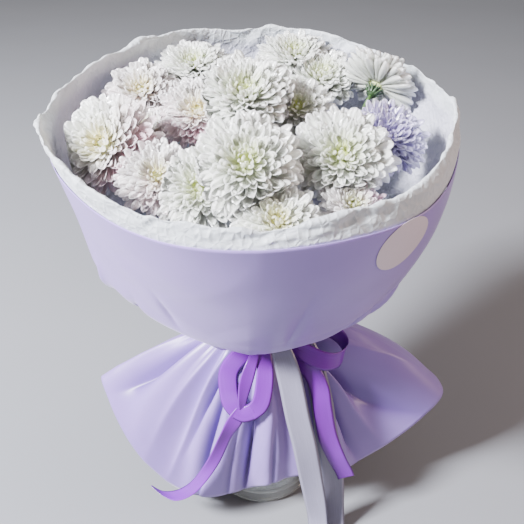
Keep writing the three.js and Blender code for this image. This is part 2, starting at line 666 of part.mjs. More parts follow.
/** The lower wrap of film: gathered at the tie, out over the jar's mouth, down to the hem. */
function skirtPoint(u, s) {
  const hem = hemCurve.getPoint(((u % 1) + 1) % 1);
  const angle = Math.atan2(hem.y, hem.x);
  const reach = Math.hypot(hem.x, hem.y);
  if (s < 0.12) return polar(angle, NECK.skirt, mixed(NECK.top - 4, NECK.bottom, s / 0.12));
  const t = (s - 0.12) / 0.88;
  const neck = polar(angle, NECK.skirt, NECK.bottom);
  const puff = share(PUFF, angle);
  const shoulder = polar(angle, 75 + 0.17 * reach + PUFF.out * puff,
    190 + 0.08 * reach + PUFF.up * puff);
  const fold = PLEAT.depth * Math.sin(t * 1.9) *
    (Math.cos(9 * angle + 0.5) + 0.6 * Math.cos(14 * angle + 2.1));
  const lift = polar(angle, PLEAT.lean, PLEAT.lean);
  return bent(neck, shoulder, hem, t).addScaledVector(lift, fold);
}

const SKIRT_ROWS = [0, 0.12, 0.27, 0.45, 0.63, 0.82, 1];

/** A ribbon: its band round the tie, its knot in front and its strips, as one body. */
function ribbonGeometry({ band: [low, high], knotX, strips }) {
  const inner = (NECK.skirt + FILM / 2 + GAP) / Math.cos(Math.PI / RIBBON.sides);
  const outer = inner + RIBBON.band;
  const outline = [[inner, low], [outer, low], [outer, high], [inner, high], [inner, low]];
  const section = outline.map(([x, y]) => new THREE.Vector2(x, y));
  const band = new THREE.LatheGeometry(section, RIBBON.sides).rotateX(Math.PI / 2);
  const [width, depth] = RIBBON.knot;
  const knot = new THREE.BoxGeometry(width, depth, high - low)
    .translate(knotX, -(inner + 0.4 + depth / 2), (low + high) / 2);
  const pieces = Object.values(strips).map((stations) => strip(stations, RIBBON.thickness));
  return geometryFrom(joined([band, knot, ...pieces]));
}

/** The round sticker on the upper wrap, curved with it and left plain. */
function stickerGeometry() {
  const { around, up, radius, thickness } = STICKER;
  const centreU = around / 360;
  const centreS = 0.6 + 0.4 * up;
  const step = 1e-3;
  const slope = (u, s) => ({
    turned: bowlPoint(u + step, s).sub(bowlPoint(u - step, s)).divideScalar(2 * step),
    raised: bowlPoint(u, s + step).sub(bowlPoint(u, s - step)).divideScalar(2 * step),
  });
  const { turned, raised } = slope(centreU, centreS);
  const spot = (angle, reach, lift) => {
    const u = centreU + (reach * Math.cos(angle)) / turned.length();
    const s = centreS + (reach * Math.sin(angle)) / raised.length();
    const here = slope(u, s);
    const normal = here.turned.clone().cross(here.raised).normalize();
    return bowlPoint(u, s).addScaledVector(normal, lift);
  };
  const sides = 24;
  const near = FILM / 2 + 1.5 * GAP;
  const rings = [near, near + thickness].map((lift) => [radius, radius / 2].map((reach) =>
    Array.from({ length: sides }, (_, i) => spot((i / sides) * TURN, reach, lift))));
  const points = [...rings[0][0], ...rings[0][1], ...rings[1][0], ...rings[1][1],
    spot(0, 0, near), spot(0, 0, near + thickness)];
  const triangles = [];
  for (let i = 0; i < sides; i += 1) {
    const j = (i + 1) % sides;
    for (const [offset, centre] of [[0, 4 * sides], [2 * sides, 4 * sides + 1]]) {
      const ring = [[offset + i, offset + j, offset + sides + j],
        [offset + i, offset + sides + j, offset + sides + i],
        [offset + sides + i, offset + sides + j, centre]];
      triangles.push(...(offset ? ring : ring.map(([a, b, c]) => [a, c, b])));
    }
    triangles.push([i, j, 2 * sides + j], [i, 2 * sides + j, 2 * sides + i]);
  }
  return geometryOf(points, triangles);
}

// ---------------------------------------------------------------- assembly

const group = new THREE.Group();
group.name = 'chrysanthemums_in_a_jar';

function addPiece(name, geometry, colour, roughness, metalness = 0) {
  const material = new THREE.MeshStandardMaterial({ color: colour, roughness, metalness });
  const mesh = new THREE.Mesh(geometry, material);
  mesh.name = name;
  group.add(mesh);
}

addPiece('glass_jar', jarGeometry(), COLOUR.glass, 0.05);
addPiece('water', waterGeometry(), COLOUR.water, 0.05);
for (const name of Object.keys(SPRAYS)) {
  addPiece(`spray_${name}`, sprayGeometry(name), COLOUR.stem, 0.6);
}
BLOOMS.forEach((bloom, i) => {
  const colour = COLOUR[TINTS[bloom.name] ?? 'white'];
  addPiece(`bloom_${bloom.name}`, bloomGeometry(bloom, i + 1), colour, 0.45);
});
addPiece('tissue_lining', skin(tissuePoint, 38, TISSUE_ROWS, FILM), COLOUR.tissue, 0.8);
addPiece('film_bowl', skin(bowlPoint, 36, BOWL_ROWS, FILM), COLOUR.film, 0.5);
addPiece('film_skirt', skin(skirtPoint, SKIRT_COLUMNS, SKIRT_ROWS, FILM), COLOUR.film, 0.5);
addPiece('round_sticker', stickerGeometry(), COLOUR.sticker, 0.6);
addPiece('lilac_ribbon', ribbonGeometry(LILAC_RIBBON), COLOUR.lilacRibbon, 0.3);
addPiece('white_ribbon', ribbonGeometry(WHITE_RIBBON), COLOUR.whiteRibbon, 0.3);

export default group;
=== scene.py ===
"""A hand-tied bouquet of double spray chrysanthemums in a film and tissue wrap, in a glass jar.

Tables and formulas are in millimetres and the meshes in metres. +Z is up, the origin is the
centre of the jar's foot, and the side that is looked at faces -Y. Angles called "around" turn
about +Z, from +X towards +Y.
"""

import math

import bpy
import numpy as np
from bpy.props import FloatProperty, FloatVectorProperty, PointerProperty
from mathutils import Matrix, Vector


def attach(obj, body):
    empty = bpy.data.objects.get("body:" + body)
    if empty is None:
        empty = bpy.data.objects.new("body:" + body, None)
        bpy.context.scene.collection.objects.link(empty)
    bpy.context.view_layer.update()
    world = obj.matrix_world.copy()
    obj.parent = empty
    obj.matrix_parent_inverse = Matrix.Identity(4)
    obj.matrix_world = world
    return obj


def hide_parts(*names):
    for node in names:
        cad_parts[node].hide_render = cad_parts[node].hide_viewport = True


bl_info = {
    "name": "Wrapped chrysanthemum bouquet",
    "version": (1, 0, 0),
    "blender": (4, 5, 0),
    "location": "3D View > Sidebar > Bouquet",
    "description": "Builds a wrapped bouquet of spray chrysanthemums in a jar, piece by piece",
    "category": "Add Mesh",
}

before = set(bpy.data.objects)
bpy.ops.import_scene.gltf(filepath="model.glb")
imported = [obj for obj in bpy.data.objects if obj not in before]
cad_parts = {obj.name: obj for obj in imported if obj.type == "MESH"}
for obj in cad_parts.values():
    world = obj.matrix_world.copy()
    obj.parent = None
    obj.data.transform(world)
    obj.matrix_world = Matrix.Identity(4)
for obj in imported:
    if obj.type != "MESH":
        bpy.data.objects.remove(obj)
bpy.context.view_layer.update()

MM = 0.001
TURN = 2 * math.pi
GOLDEN_ANGLE = math.pi * (3 - math.sqrt(5))
UP = np.array([0.0, 0.0, 1.0])

# ------------------------------------------------------------------ sizes of the real thing

JAR = {"radius": 64, "height": 140, "wall": 3, "floor": 12, "foot_radius": 56}
WATER = {"level": 95, "gap": 0.1}

# Rings of radius "ring" and "foot_ring" hold the stems, at those heights; above the tie's waist
# a stem rises straight at first, and it tapers and has faint ridges.
STEM = {"radius": 3, "taper": 0.8, "ring": 14, "foot_ring": 36, "foot": 17, "bend": 205,
        "waist": 259, "rise": 38, "ridges": 0.05}
PEDICEL_RADIUS = 1.8
CALYX_DEPTH = 7
# Radius and height above the collar.
CALYX_PROFILE = [(2.0, 0), (3.6, 1.2), (5.0, 3.2), (5.7, 5.6), (5.6, 7.5), (4.0, 9)]
BRACTS = 11  # in each of the calyx's two rings
# The lobes are half the leaf's width, as a share of its greatest, at shares of its length.
LEAF = {
    "length": 62, "width": 21, "droop": 12,
    "lobes": [(0, 0.1), (0.2, 0.5), (0.3, 0.28), (0.5, 1), (0.62, 0.5), (0.78, 0.75), (1, 0)],
}

FILM_HALF = 0.4  # half the thickness of the wrap's solid sheets
# The heights between which the tie gathers the wrap, and each sheet's radius there.
NECK = {"bottom": 236, "top": 252, "tissue": 17.8, "bowl": 19, "skirt": 20.2}
# The fold that the upper wrap is turned up from, a lens, and the round rim that it opens to.
FOLD = {"x": -19, "half_width": 143, "half_depth": 85, "height": 258, "side_lift": 30,
        "corner": 4 / 3}
RIM = {"x": -10, "radius": 172, "height": 447, "slope": 0.095}
# Where the wrap departs from that even shape: the middle of each stretch around, how narrow
# it is, and how far the wrap moves there.
CORNER = {"around": 312, "power": 3, "out": 14, "forward": 5, "drop": 9}
BULGE = {"around": 325, "power": 2, "out": 10}
HOLLOW = {"around": 212, "power": 4, "rim_inset": 10, "lip_lean": 12}
LOW_LIP = {"around": 272, "power": 2, "drop": 10}
PUFF = {"around": 14, "power": 14, "out": 12, "up": 34}
# The shares of the upper wrap's section at which its neck, its spread, the bend round the fold
# and its wall start, and the upper film's rows along each.
SECTION = (0, 0.1, 0.35, 0.6, 1)
BOWL_ROWS = (4, 17, 35, 44)
TISSUE = {"inset": 5, "fold_inset": 7, "fold_lift": 6, "neck_lift": 4, "stands": 23,
          "lip": 0.86, "over": 0.9, "thickness": 0.0002}
TISSUE_ROWS = {"body": 40, "rise": 21, "turn": 5, "drop": 23}
RIM_WAVE_FROM = 0.82  # share of the section from which the rim's slow wave is felt
# The lower film's hem: angle around, distance out and height.
HEM = [
    (0, 204, 130), (8, 194, 134), (21, 150, 84), (45, 118, 52), (70, 92, 40), (95, 84, 62),
    (120, 96, 48), (145, 124, 38), (165, 158, 88), (180, 187, 150), (196, 152, 88),
    (210, 125, 38), (228, 100, 30), (250, 87, 50), (270, 80, 60), (298, 90, 76), (326, 111, 64),
    (342, 146, 82), (352, 188, 119),
]
# The lower film's shoulder, the middle point of its curve: its distance out and its height, and
# how many mm each gains for a mm of the hem's distance out.
SHOULDER = {"out": 75, "out_gain": 0.17, "height": 190, "height_gain": 0.08}
SKIRT_ROWS = {"band": 6, "flare": 82}
PLEAT = {"depth": 6, "lean": 0.7}
GATHER_DEPTH = 1.6
JAR_CLEARANCE = 2
# Single folds: the angle around at their start and end, the share of the section at both, the
# width in degrees, and the height in mm, which is below zero for a fold that goes inwards.
BOWL_PINCHES = [
    (292, 322, 0.22, 0.7, 3.0, -7), (316, 346, 0.3, 0.74, 3, 5), (262, 252, 0.16, 0.56, 3, 5),
    (272, 276, 0.16, 0.54, 2.4, -5), (243, 238, 0.56, 0.78, 2, -2.2), (196, 208, 0.36, 0.74, 4, 4),
    (214, 226, 0.26, 0.68, 3, -4.5), (286, 288, 0.5, 0.92, 3, -2.2), (328, 316, 0.44, 0.8, 2.6, -4),
    (60, 78, 0.3, 0.6, 5, 4), (128, 116, 0.35, 0.66, 5, -4), (20, 8, 0.4, 0.75, 4, 3),
    (160, 150, 0.3, 0.62, 4, 3), (96, 98, 0.2, 0.5, 3, -3),
]
SKIRT_PINCHES = [
    (191, 185, 0.1, 1.05, 5, -16), (211, 200, 0.1, 1.2, 4, 8), (235, 212, 0.06, 0.9, 3, -11),
    (226, 205, 0.1, 1.2, 3.4, 8), (242, 216, 0.2, 1.3, 3.4, -15), (178, 180, 0.2, 1.1, 3, 4),
    (270, 248, 0.2, 1.35, 2.8, -11), (256, 234, 0.4, 1.5, 2.6, -6), (280, 276, 0.4, 1.5, 2.4, -6),
    (298, 306, 0.1, 1.4, 3.4, -10), (309, 318, 0.3, 1.3, 2.6, 8), (318, 337, 0.1, 1.1, 4.2, -18),
    (326, 346, 0.12, 1.2, 4, 10), (333, 355, 0.1, 1.2, 3.4, -13), (346, 360, 0.2, 0.9, 3, 3),
    (24, 18, 0.1, 1.3, 4, -10), (42, 44, 0.1, 1.3, 3.6, 7), (58, 66, 0.1, 1.4, 4, -10),
    (78, 80, 0.1, 1.3, 3.2, 6), (96, 90, 0.1, 1.4, 4, -10), (112, 114, 0.1, 1.3, 3.6, 7),
    (128, 134, 0.1, 1.4, 4, -10), (146, 148, 0.1, 1.3, 3.2, 6), (160, 156, 0.1, 1.2, 4, -8),
]
# Creases of a sheet: how many go round, how many mm they take to come round again on the way
# up, and their height, in mm or, for the tissue's crumple, in shares of its setting.
EDGE_CREASES = {"seed": 3, "warp": 0.9, "waves": [(8, 90, 3.0), (17, 90, 1.6), (41, 90, 0.8)]}
BROAD_CREASES = {"seed": 5, "warp": 1.4, "waves": [(5, 120, 1.0), (8, 70, 0.7), (13, 46, 0.45)]}
FINE_CREASES = {"seed": 9, "warp": 1.6, "waves": [
    (11, 26, 0.6), (19, 38, 0.5), (29, 24, 0.4), (37, 44, 0.36), (53, 28, 0.26), (67, 24, 0.16),
    (7, 13, 0.3)]}
FILM_DENTS = {"seed": 8, "warp": 0.6, "waves": [(4, 300, 1.1), (7, 190, 0.8)]}
FILM_CREASES = {"seed": 21, "warp": 0.9, "waves": [(9, 90, 0.3), (14, 60, 0.16)]}
SKIRT_CREASES = {"seed": 14, "warp": 0.9, "waves": [(9, 160, 1.4), (14, 120, 0.8), (21, 90, 0.4)]}

# Points of the grids: round the upright axis or the knot, and along a stem, a pedicel, a leaf,
# a petal, and each stretch of a ribbon between two stations.
POINTS_ROUND = {"jar": 160, "water": 128, "tissue": 570, "bowl": 500, "skirt": 560, "label": 96,
                "band": 96, "knot": 40}
POINTS_ALONG = {"stem": 70, "pedicel": 22, "leaf": 49, "petal": 9, "stretch": 14}

# The sticker's edge is rounded, and its faces stand that far off the film's middle.
STICKER = {"around": 310, "up": 0.83, "radius": 25, "edge": 0.15, "below": 0.4, "above": 0.65}

KNOT = {"width": 14, "depth": 8, "gap": 0.9}
RIBBON_GAP = 0.3  # between the lower film and the bands
# A strip is a list of stations, each a point and half the ribbon's width there as a vector.
LILAC_RIBBON = {
    "band": (236.8, 242.2), "knot_x": 4,
    "strips": [
        [((1, -25, 239), (-1.2, 0, 2.6)), ((-4, -38, 236), (-5, -1, 5)),
         ((-20, -47, 226), (-8, 2, 5)), ((-33, -51, 208), (-9.6, 2, 2)),
         ((-34, -61, 192), (-9.8, 0, -1)), ((-30, -71, 180), (-7.5, -3, -5)),
         ((-20, -77, 173), (-1, -4.5, -7.5)), ((-8, -78, 178), (4, -4, -7))],
        [((3, -25, 239), (2.4, 0, 2)), ((2, -44, 230), (6, 2, 2)), ((3, -60, 213), (8.5, 0, 0)),
         ((1, -71, 195), (8.5, -2, -3)), ((-3, -76, 184), (7, -3, -5)),
         ((-10, -78, 177), (3.4, -4, -7))],
        [((1, -26, 239), (2, 0, 2)), ((-8, -50, 228), (6, 2, 2)), ((-15, -64, 209), (7.5, 2, 1)),
         ((-19, -72, 190), (5, 1.5, 0.5)), ((-20, -74, 177), (3, 0.8, 0.3))],
        [((-22, -74, 177), (4, -1, -1)), ((-28, -79, 164), (7.5, 0, -3)),
         ((-38, -83, 145), (6.5, 2, -2.5)), ((-52, -88, 110), (6, -1, -2)),
         ((-72, -92, 76), (3.5, -7.5, 1)), ((-92, -90, 56), (1, -8.5, 2)),
         ((-110, -84, 50), (0.8, -5, 2.4)), ((-124, -76, 53), (0.3, -1.5, 0.8))],
        [((7, -26, 239), (0, 0, 3)), ((22, -36, 236), (-1, 2, 7)), ((42, -46, 228), (1, 4.5, 9)),
         ((62, -50, 220), (1, 4, 9)), ((78, -42, 215), (0, 1, 10)),
         ((86, -28, 217), (2, 0, 9.3)), ((78, -19, 227), (2, 1, 8.5)), ((56, -17, 235), (1, 0, 8)),
         ((28, -19, 239), (0, 0, 4)), ((9, -25, 239), (0, 0, 3))],
        [((8, -27, 239), (3, 0, 1)), ((28, -42, 224), (5.5, 0, 8)), ((48, -52, 210), (7, 1, 7)),
         ((58, -61, 192), (9, 1, 4)), ((62, -70, 170), (9.5, 2, 2)),
         ((68, -78, 140), (9.5, 2, 2.5)), ((78, -81, 112), (9.2, -1, 4)),
         ((88, -81, 88), (8.5, -1, 5)), ((92, -81, 76), (8.5, -1, 5))],
    ],
}
WHITE_RIBBON = {
    "band": (242.7, 248.2), "knot_x": 9,
    "strips": [
        [((8, -26, 245.5), (3, 0, 1)), ((15, -42, 243), (7, 0, 3)), ((21, -53, 230), (10, 0, 4)),
         ((26, -60, 214), (11.5, 0, 4)), ((30, -66, 197), (12, 0, 3)),
         ((36, -76, 168), (12.2, 0, 2.5)), ((44, -85, 134), (12.2, 0, 2.6)),
         ((51, -91, 96), (12.2, 0, 2)), ((58, -95, 56), (12, -3, 1.5)),
         ((63, -99, 20), (11, -5, 1)), ((63, -112, 2.2), (11.5, -4, 0)),
         ((56, -146, 1.3), (12, -3, 0))],
        [((10, -26, 245.5), (0, 1, 2.5)), ((26, -29, 247), (1, 5, 1)), ((40, -31, 234), (6, 4, 3)),
         ((50, -41, 215), (9, 3, 5)), ((57, -54, 193), (10, 1.5, 5)), ((62, -65, 171), (11, 1, 4)),
         ((67, -73, 138), (11.6, 0.5, 3)), ((73, -76, 106), (12, 1, 3)),
         ((78, -79, 70), (12, 1, 2)), ((80, -86, 35), (12, -2, 1)), ((82, -95, 8), (12, -2, 0)),
         ((86, -108, 1.6), (12, -2, 0)), ((98, -138, 1.3), (11.5, 4, 0))],
    ],
}

# The stem's angle in the ring at the tie, and where it forks.
SPRAYS = {
    "west": (186, (-58, -26, 352)), "northwest": (126, (-52, 48, 356)),
    "north": (66, (22, 58, 358)), "east": (6, (62, 14, 350)),
    "southeast": (306, (36, -52, 350)), "south": (246, (-12, -58, 348)),
    "middle": (None, (-8, 0, 372)),
}
# Each leaf's place along the upper stem, its direction around, and its size.
LEAVES = {
    "west": [(0.8, 176, 1.1), (1, 216, 1.1)], "northwest": [(0.8, 168, 0.85), (1, 134, 1)],
    "north": [(0.8, 96, 1), (1, 62, 0.8)], "east": [(0.8, 10, 1.1), (1, 50, 0.9)],
    "southeast": [(0.8, 326, 1.1), (1, 290, 0.85)], "south": [(0.8, 266, 1.1), (1, 240, 1.1)],
    "middle": [(0.9, 70, 0.8), (0.9, 215, 0.8)],
}
# The two small leaves on a pedicel: the turn from its bloom's angle, and the point along it.
PEDICEL_LEAVES = [(130, 8), (215, 14)]
PEDICEL_LEAF_SIZE = 0.55
LEAF_SEED, BLOOM_SEED = 50, 11
# Name, spray, angle around and distance out from the rim's centre, height of the heart,
# radius, how far the face leans, and the direction it leans in.
BLOOMS = [
    ("left", "west", 202, 127, 454, 37, 42, 245),
    ("small_left", "west", 172, 92, 443, 23, 20, 227),
    ("low_left", "west", 230, 106, 442, 27, 35, 280),
    ("back_left", "northwest", 150, 118, 462, 32, 32, 262),
    ("far_left", "northwest", 118, 123, 474, 34, 15, 250),
    ("far_right", "north", 71, 132, 479, 34, 15, 262),
    ("back_right", "north", 54, 115, 466, 35, 20, 254),
    ("turned", "east", 31, 145, 468, 33, 56, 51),
    ("lilac", "east", 347, 118, 452, 30, 38, 285),
    ("right", "southeast", 310, 106, 461, 35, 40, 262),
    ("small_right", "southeast", 305, 133, 433, 21, 25, 290),
    ("front", "south", 269, 103, 465, 37, 38, 268),
    ("low_front", "south", 279, 134, 434, 29, 25, 266),
    ("low_middle", "south", 249, 103, 440, 30, 44, 266),
    ("inner_left", "middle", 180, 45, 464, 31, 34, 265),
    ("middle", "middle", 225, 6, 484, 39, 24, 267),
    ("inner_right", "middle", 10, 41, 464, 27, 34, 262),
]
# The tint of every bloom that isn't white.
TINTS = {"small_left": "blush", "low_left": "blush", "small_right": "blush",
         "inner_left": "blush", "back_left": "blush", "lilac": "lilac"}
# Where a bloom is flushed with pink: the direction on its face and how strongly.
FLUSHES = {"left": (320, 0.95), "inner_left": (265, 0.9), "small_left": (0, 0.7),
           "low_left": (300, 0.5), "back_left": (250, 0.35), "small_right": (0, 1.3)}
# How yellow a heart is: the others are lime.
YELLOW_HEARTS = {"left": 1.0, "inner_left": 1.0, "low_front": 0.7, "back_left": 0.8,
                 "low_left": 0.6}
# How far the petals reach, in bloom radii.
FULLER = {"left": 1.14, "low_left": 1.14, "small_left": 1.16, "low_middle": 1.12,
          "low_front": 1.12, "small_right": 1.16}
FULL = 1.06  # the same for the other blooms
HEART, MIDDLE = 0.62, 0.3  # heights above a bloom's seat, in bloom radii
PETAL_COUNTS = [(35, 215), (29, 185), (0, 145)]  # least radius, and how many petals
# How petals give way: how near a neighbour counts, in sums of the radii; how far its plane is
# moved towards it; over how many mm they slow down before a plane; and the share of the way
# they are moved back that lifts them.
PRESS = {"near": 1.3, "overlap": 4, "give": 3.0, "lift": 0.35}
# The round wall that they stay in: its gap to the rim, how far below the rim it starts to lean
# in, and how steeply it does.
WALL = {"gap": 12, "below": 10, "lean": 0.3}

# The camera and the lights: metres, degrees, pixels of the picture, and mm for the sensor.
CAMERA = {"in_front": 0.486, "height": 0.642, "down": 34.7, "focal_pixels": 600, "pixels": 524,
          "sensor": 36, "sees": 50}
FLOOR = {"half": 8, "down": 0.0004}
LIT_POINT = (0, 0, 0.3)
LIGHTS = [  # name, place, size, watts and colour
    ("window", (-1.7, -0.8, 1.8), 0.45, 400, "#f8f9ff"),
    ("fill", (1.7, -0.15, 0.9), 0.9, 20, "#ffdccd"),
]
ROOM = ("#d8d2cf", 0.7)  # colour and strength of the light from all round


# ------------------------------------------------------------------ small helpers

def linear(hex_colour):
    """The linear RGB of an sRGB hex colour."""
    channels = [int(hex_colour[i:i + 2], 16) / 255 for i in (1, 3, 5)]
    return tuple(c / 12.92 if c <= 0.04045 else ((c + 0.055) / 1.055) ** 2.4 for c in channels)


def unit(vectors):
    """Each vector at length one."""
    return vectors / np.maximum(np.linalg.norm(vectors, axis=-1, keepdims=True), 1e-12)


def mixed(a, b, t):
    """The value a share t of the way from a to b."""
    return a + (b - a) * t


def polar(around, reach, height, x=0.0):
    """The point at a distance and an angle round the upright axis through x."""
    around, reach, height = np.broadcast_arrays(around, reach, height)
    return np.stack([x + reach * np.cos(around), reach * np.sin(around), height], -1)


def full_turn(count):
    """So many angles that share a turn evenly."""
    return np.arange(count) / count * TURN


def lengths(line):
    """How far along a line (n, 3), or the mean line of a grid (n, around, 3), each row is."""
    steps = np.linalg.norm(np.diff(line, axis=0), axis=-1)
    return np.concatenate([[0], np.cumsum(steps.reshape(len(steps), -1).mean(1))])


def smooth_step(low, high, x):
    """Nought below low, one above high, and 3t^2 - 2t^3 between them."""
    t = np.clip((x - low) / (high - low), 0, 1)
    return t * t * (3 - 2 * t)


def fold_wave(x):
    """A triangle wave between -1 and 1, the arcsine of the sine: straight runs, sharp turns."""
    return np.arcsin(np.sin(x)) * 2 / math.pi


def spline(stations, t, closed=False):
    """A uniform Catmull-Rom curve through stations (n, k), at shares t of the way past them."""
    stations = np.asarray(stations, float)
    count = len(stations)
    place = np.asarray(t, float) * (count if closed else count - 1)
    first = np.floor(place).astype(int)
    if not closed:
        first = np.clip(first, 0, count - 2)
    w = (place - first)[..., None]

    def at(i):
        return stations[i % count] if closed else stations[np.clip(i, 0, count - 1)]

    p0, p1, p2, p3 = at(first - 1), at(first), at(first + 1), at(first + 2)
    v0, v1 = (p2 - p0) / 2, (p3 - p1) / 2
    return (p1 + v0 * w + (3 * (p2 - p1) - 2 * v0 - v1) * w ** 2
            + (2 * (p1 - p2) + v0 + v1) * w ** 3)


def bezier(a, b, c, t):
    """The quadratic curve from a to c with the control point b: (1-t)^2 a + 2t(1-t) b + t^2 c."""
    return mixed(mixed(a, b, t), mixed(b, c, t), t)


def ring_faces(count, rings, around, closed=False):
    """Quads and end caps of count tubes that each have so many rings of so many points.

    A closed one has quads from its last ring back to its first, and needs no caps.
    """
    i, j = np.meshgrid(np.arange(rings if closed else rings - 1), np.arange(around),
                       indexing="ij")
    k, after = (j + 1) % around, (i + 1) % rings
    quads = np.stack([i * around + j, i * around + k, after * around + k, after * around + j],
                     -1).reshape(-1, 4)
    caps = np.stack([np.arange(around)[::-1], (rings - 1) * around + np.arange(around)])
    shift = (np.arange(count) * rings * around)[:, None, None]
    return (quads[None] + shift).reshape(-1, 4), (caps[None] + shift).reshape(-1, around)


def tube_part(points, paint=0, uv=None, **values):
    """A part made of tubes: points is (count, rings, around, 3), and each end is capped.

    values are named numbers that broadcast over the points, kept as attributes.
    """
    count, rings, around = points.shape[:3]
    quads, caps = ring_faces(count, rings, around)
    flat = points.reshape(-1, 3)
    a, b, c, d = (flat[quads[:, n]] for n in range(4))
    volume = np.sum(a * np.cross(b, c)) + np.sum(a * np.cross(c, d))
    if volume < 0:
        quads, caps = quads[:, ::-1], caps[:, ::-1]
    grid = points.shape[:3]
    values = {name: np.broadcast_to(v, grid).ravel() for name, v in values.items()}
    if uv is not None:
        uv = np.stack([np.broadcast_to(part, grid).ravel() for part in uv], -1)
    return {"points": flat, "faces": [quads, caps], "paint": paint, "uv": uv, "values": values}


def sheet_part(points, paint=0, **values):
    """An open skin that closes round on itself: points is (rows, around, 3), from the foot up."""
    rows, around = points.shape[:2]
    quads, _ = ring_faces(1, rows, around)
    values = {name: np.broadcast_to(v, (rows, around)).ravel() for name, v in values.items()}
    return {"points": points.reshape(-1, 3), "faces": [quads], "paint": paint, "uv": None,
            "values": values}


def make_piece(name, parts, materials, node, thickness=0.0):
    """Makes one object of the parts, in place of a CAD node, riding on the only body."""
    points = np.concatenate([part["points"] for part in parts]) * MM
    loops, sizes, paints, start = [], [], [], 0
    for part in parts:
        for faces in part["faces"]:
            loops.append((faces + start).ravel())
            sizes.append(np.full(len(faces), faces.shape[1]))
            paints.append(np.full(len(faces), part["paint"]))
        start += len(part["points"])
    loops, sizes = np.concatenate(loops), np.concatenate(sizes)
    mesh = bpy.data.meshes.new(name)
    mesh.vertices.add(len(points))
    mesh.vertices.foreach_set("co", points.astype(np.float32).ravel())
    mesh.loops.add(len(loops))
    mesh.loops.foreach_set("vertex_index", loops.astype(np.int32))
    mesh.polygons.add(len(sizes))
    mesh.polygons.foreach_set("loop_start", (np.cumsum(sizes) - sizes).astype(np.int32))
    mesh.polygons.foreach_set("material_index", np.concatenate(paints).astype(np.int32))
    mesh.polygons.foreach_set("use_smooth", np.ones(len(sizes), bool))
    for key in sorted({key for part in parts for key in part["values"]}):
        held = [part["values"].get(key, np.zeros(len(part["points"]))) for part in parts]
        mesh.attributes.new(key, "FLOAT", "POINT").data.foreach_set(
            "value", np.concatenate(held).astype(np.float32))
    if any(part["uv"] is not None for part in parts):
        uv = np.concatenate([np.zeros((len(part["points"]), 2)) if part["uv"] is None
                             else part["uv"] for part in parts])
        layer = mesh.uv_layers.new(name="UVMap")
        layer.data.foreach_set("uv", uv[loops].astype(np.float32).ravel())
    mesh.update(calc_edges=True)
    for material in materials:
        mesh.materials.append(material)
    piece = bpy.data.objects.new(name, mesh)
    bpy.context.scene.collection.objects.link(piece)
    if thickness:
        solid = piece.modifiers.new("thickness", "SOLIDIFY")
        solid.thickness = thickness
        solid.offset = 0.0
    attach(piece, "root")
    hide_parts(node)
    return piece


def tube(centre, radius, sides):
    """Round sections of a radius along a line (n, 3), upright to it, with five faint ridges."""
    along = unit(np.gradient(centre, axis=0))
    chord = centre[-1] - centre[0]
    guide = np.cross(chord, UP)
    if np.linalg.norm(guide) < 0.1 * np.linalg.norm(chord):
        guide = np.array([1.0, 0.0, 0.0])
    side = unit(np.cross(along, unit(guide)))
    other = np.cross(along, side)
    angle = full_turn(sides)
    radius = radius[:, None] * (1 + STEM["ridges"] * np.cos(5 * angle))
    return (centre[:, None] + side[:, None] * (radius * np.cos(angle))[..., None]
            + other[:, None] * (radius * np.sin(angle))[..., None])


def blade_points(centre, side, up, half_width, cup, thickness, across=5, lift=0.0):
    """Thin closed blades along lines (..., n, 3): v runs across from -1 to 1 and back below.

    A point is centre + side * v * half_width + up * (cup * half_width * v^2 + lift +- t/2).
    """
    top = np.linspace(-1, 1, across)
    v = np.concatenate([top, top[-2:0:-1]])
    face = np.concatenate([[0], np.ones(across - 2), [0], -np.ones(across - 2)])
    spread = (half_width[..., None] * v)[..., None]
    rise = ((cup * half_width)[..., None] * v ** 2 + lift + thickness / 2 * face)[..., None]
    return centre[..., None, :] + side[..., None, :] * spread + up[..., None, :] * rise, v


def revolved(profile, sides):
    """The points of one tube round the upright axis, a ring for each (radius, height)."""
    return polar(full_turn(sides)[None], profile[:, :1], profile[:, 1:])[None]


def rounded(profile, steps=6, reach=0.35):
    """The profile with each corner between its ends rounded by a quadratic curve."""
    profile = np.asarray(profile, float)
    t = np.linspace(0, 1, steps)[:, None]
    rows = [profile[:1]]
    for before, corner, after in zip(profile, profile[1:], profile[2:]):
        rows.append(bezier(mixed(corner, before, reach), corner, mixed(corner, after, reach), t))
    return np.concatenate(rows + [profile[-1:]])


# ------------------------------------------------------------------ materials

# The sockets of the Mix node for colours.
SHARE, FIRST, SECOND, MIXED = 0, 6, 7, 2


def add_node(tree, kind, values=None, output=0):
    """Adds a shader node with its settings and links, and gives one of its outputs.

    A value goes to the property or the input of that name or number. An input takes a socket
    as a link and a colour without its alpha, and stops are a ramp's (position, colour) pairs.
    """
    node = tree.nodes.new("ShaderNode" + kind)
    for name, value in (values or {}).items():
        if name == "stops":
            elements = node.color_ramp.elements
            while len(elements) < len(value):
                elements.new(1.0)
            for element, (position, colour) in zip(elements, value):
                element.position = position
                element.color = (*colour, 1)
        elif not isinstance(name, int) and name not in node.inputs:
            setattr(node, name, value)
        elif isinstance(value, bpy.types.NodeSocket):
            tree.links.new(value, node.inputs[name])
        else:
            socket = node.inputs[name]
            socket.default_value = (*value, 1) if socket.type == "RGBA" else value
    return node.outputs[output] if node.outputs else None


def new_material(name):
    """A new material, and its empty node tree."""
    material = bpy.data.materials.new(name)
    material.use_nodes = True
    material.node_tree.nodes.clear()
    return material, material.node_tree


def finished(material, values, relief=None, depth=0.0, strength=0.5):
    """The material with a Principled shader of those values, over a relief that deep."""
    tree = material.node_tree
    if relief:
        values["Normal"] = add_node(tree, "Bump", {"Strength": strength, "Distance": depth,
                                                   "Height": relief})
    shader = add_node(tree, "BsdfPrincipled", values)
    add_node(tree, "OutputMaterial", {"Surface": shader})
    return material


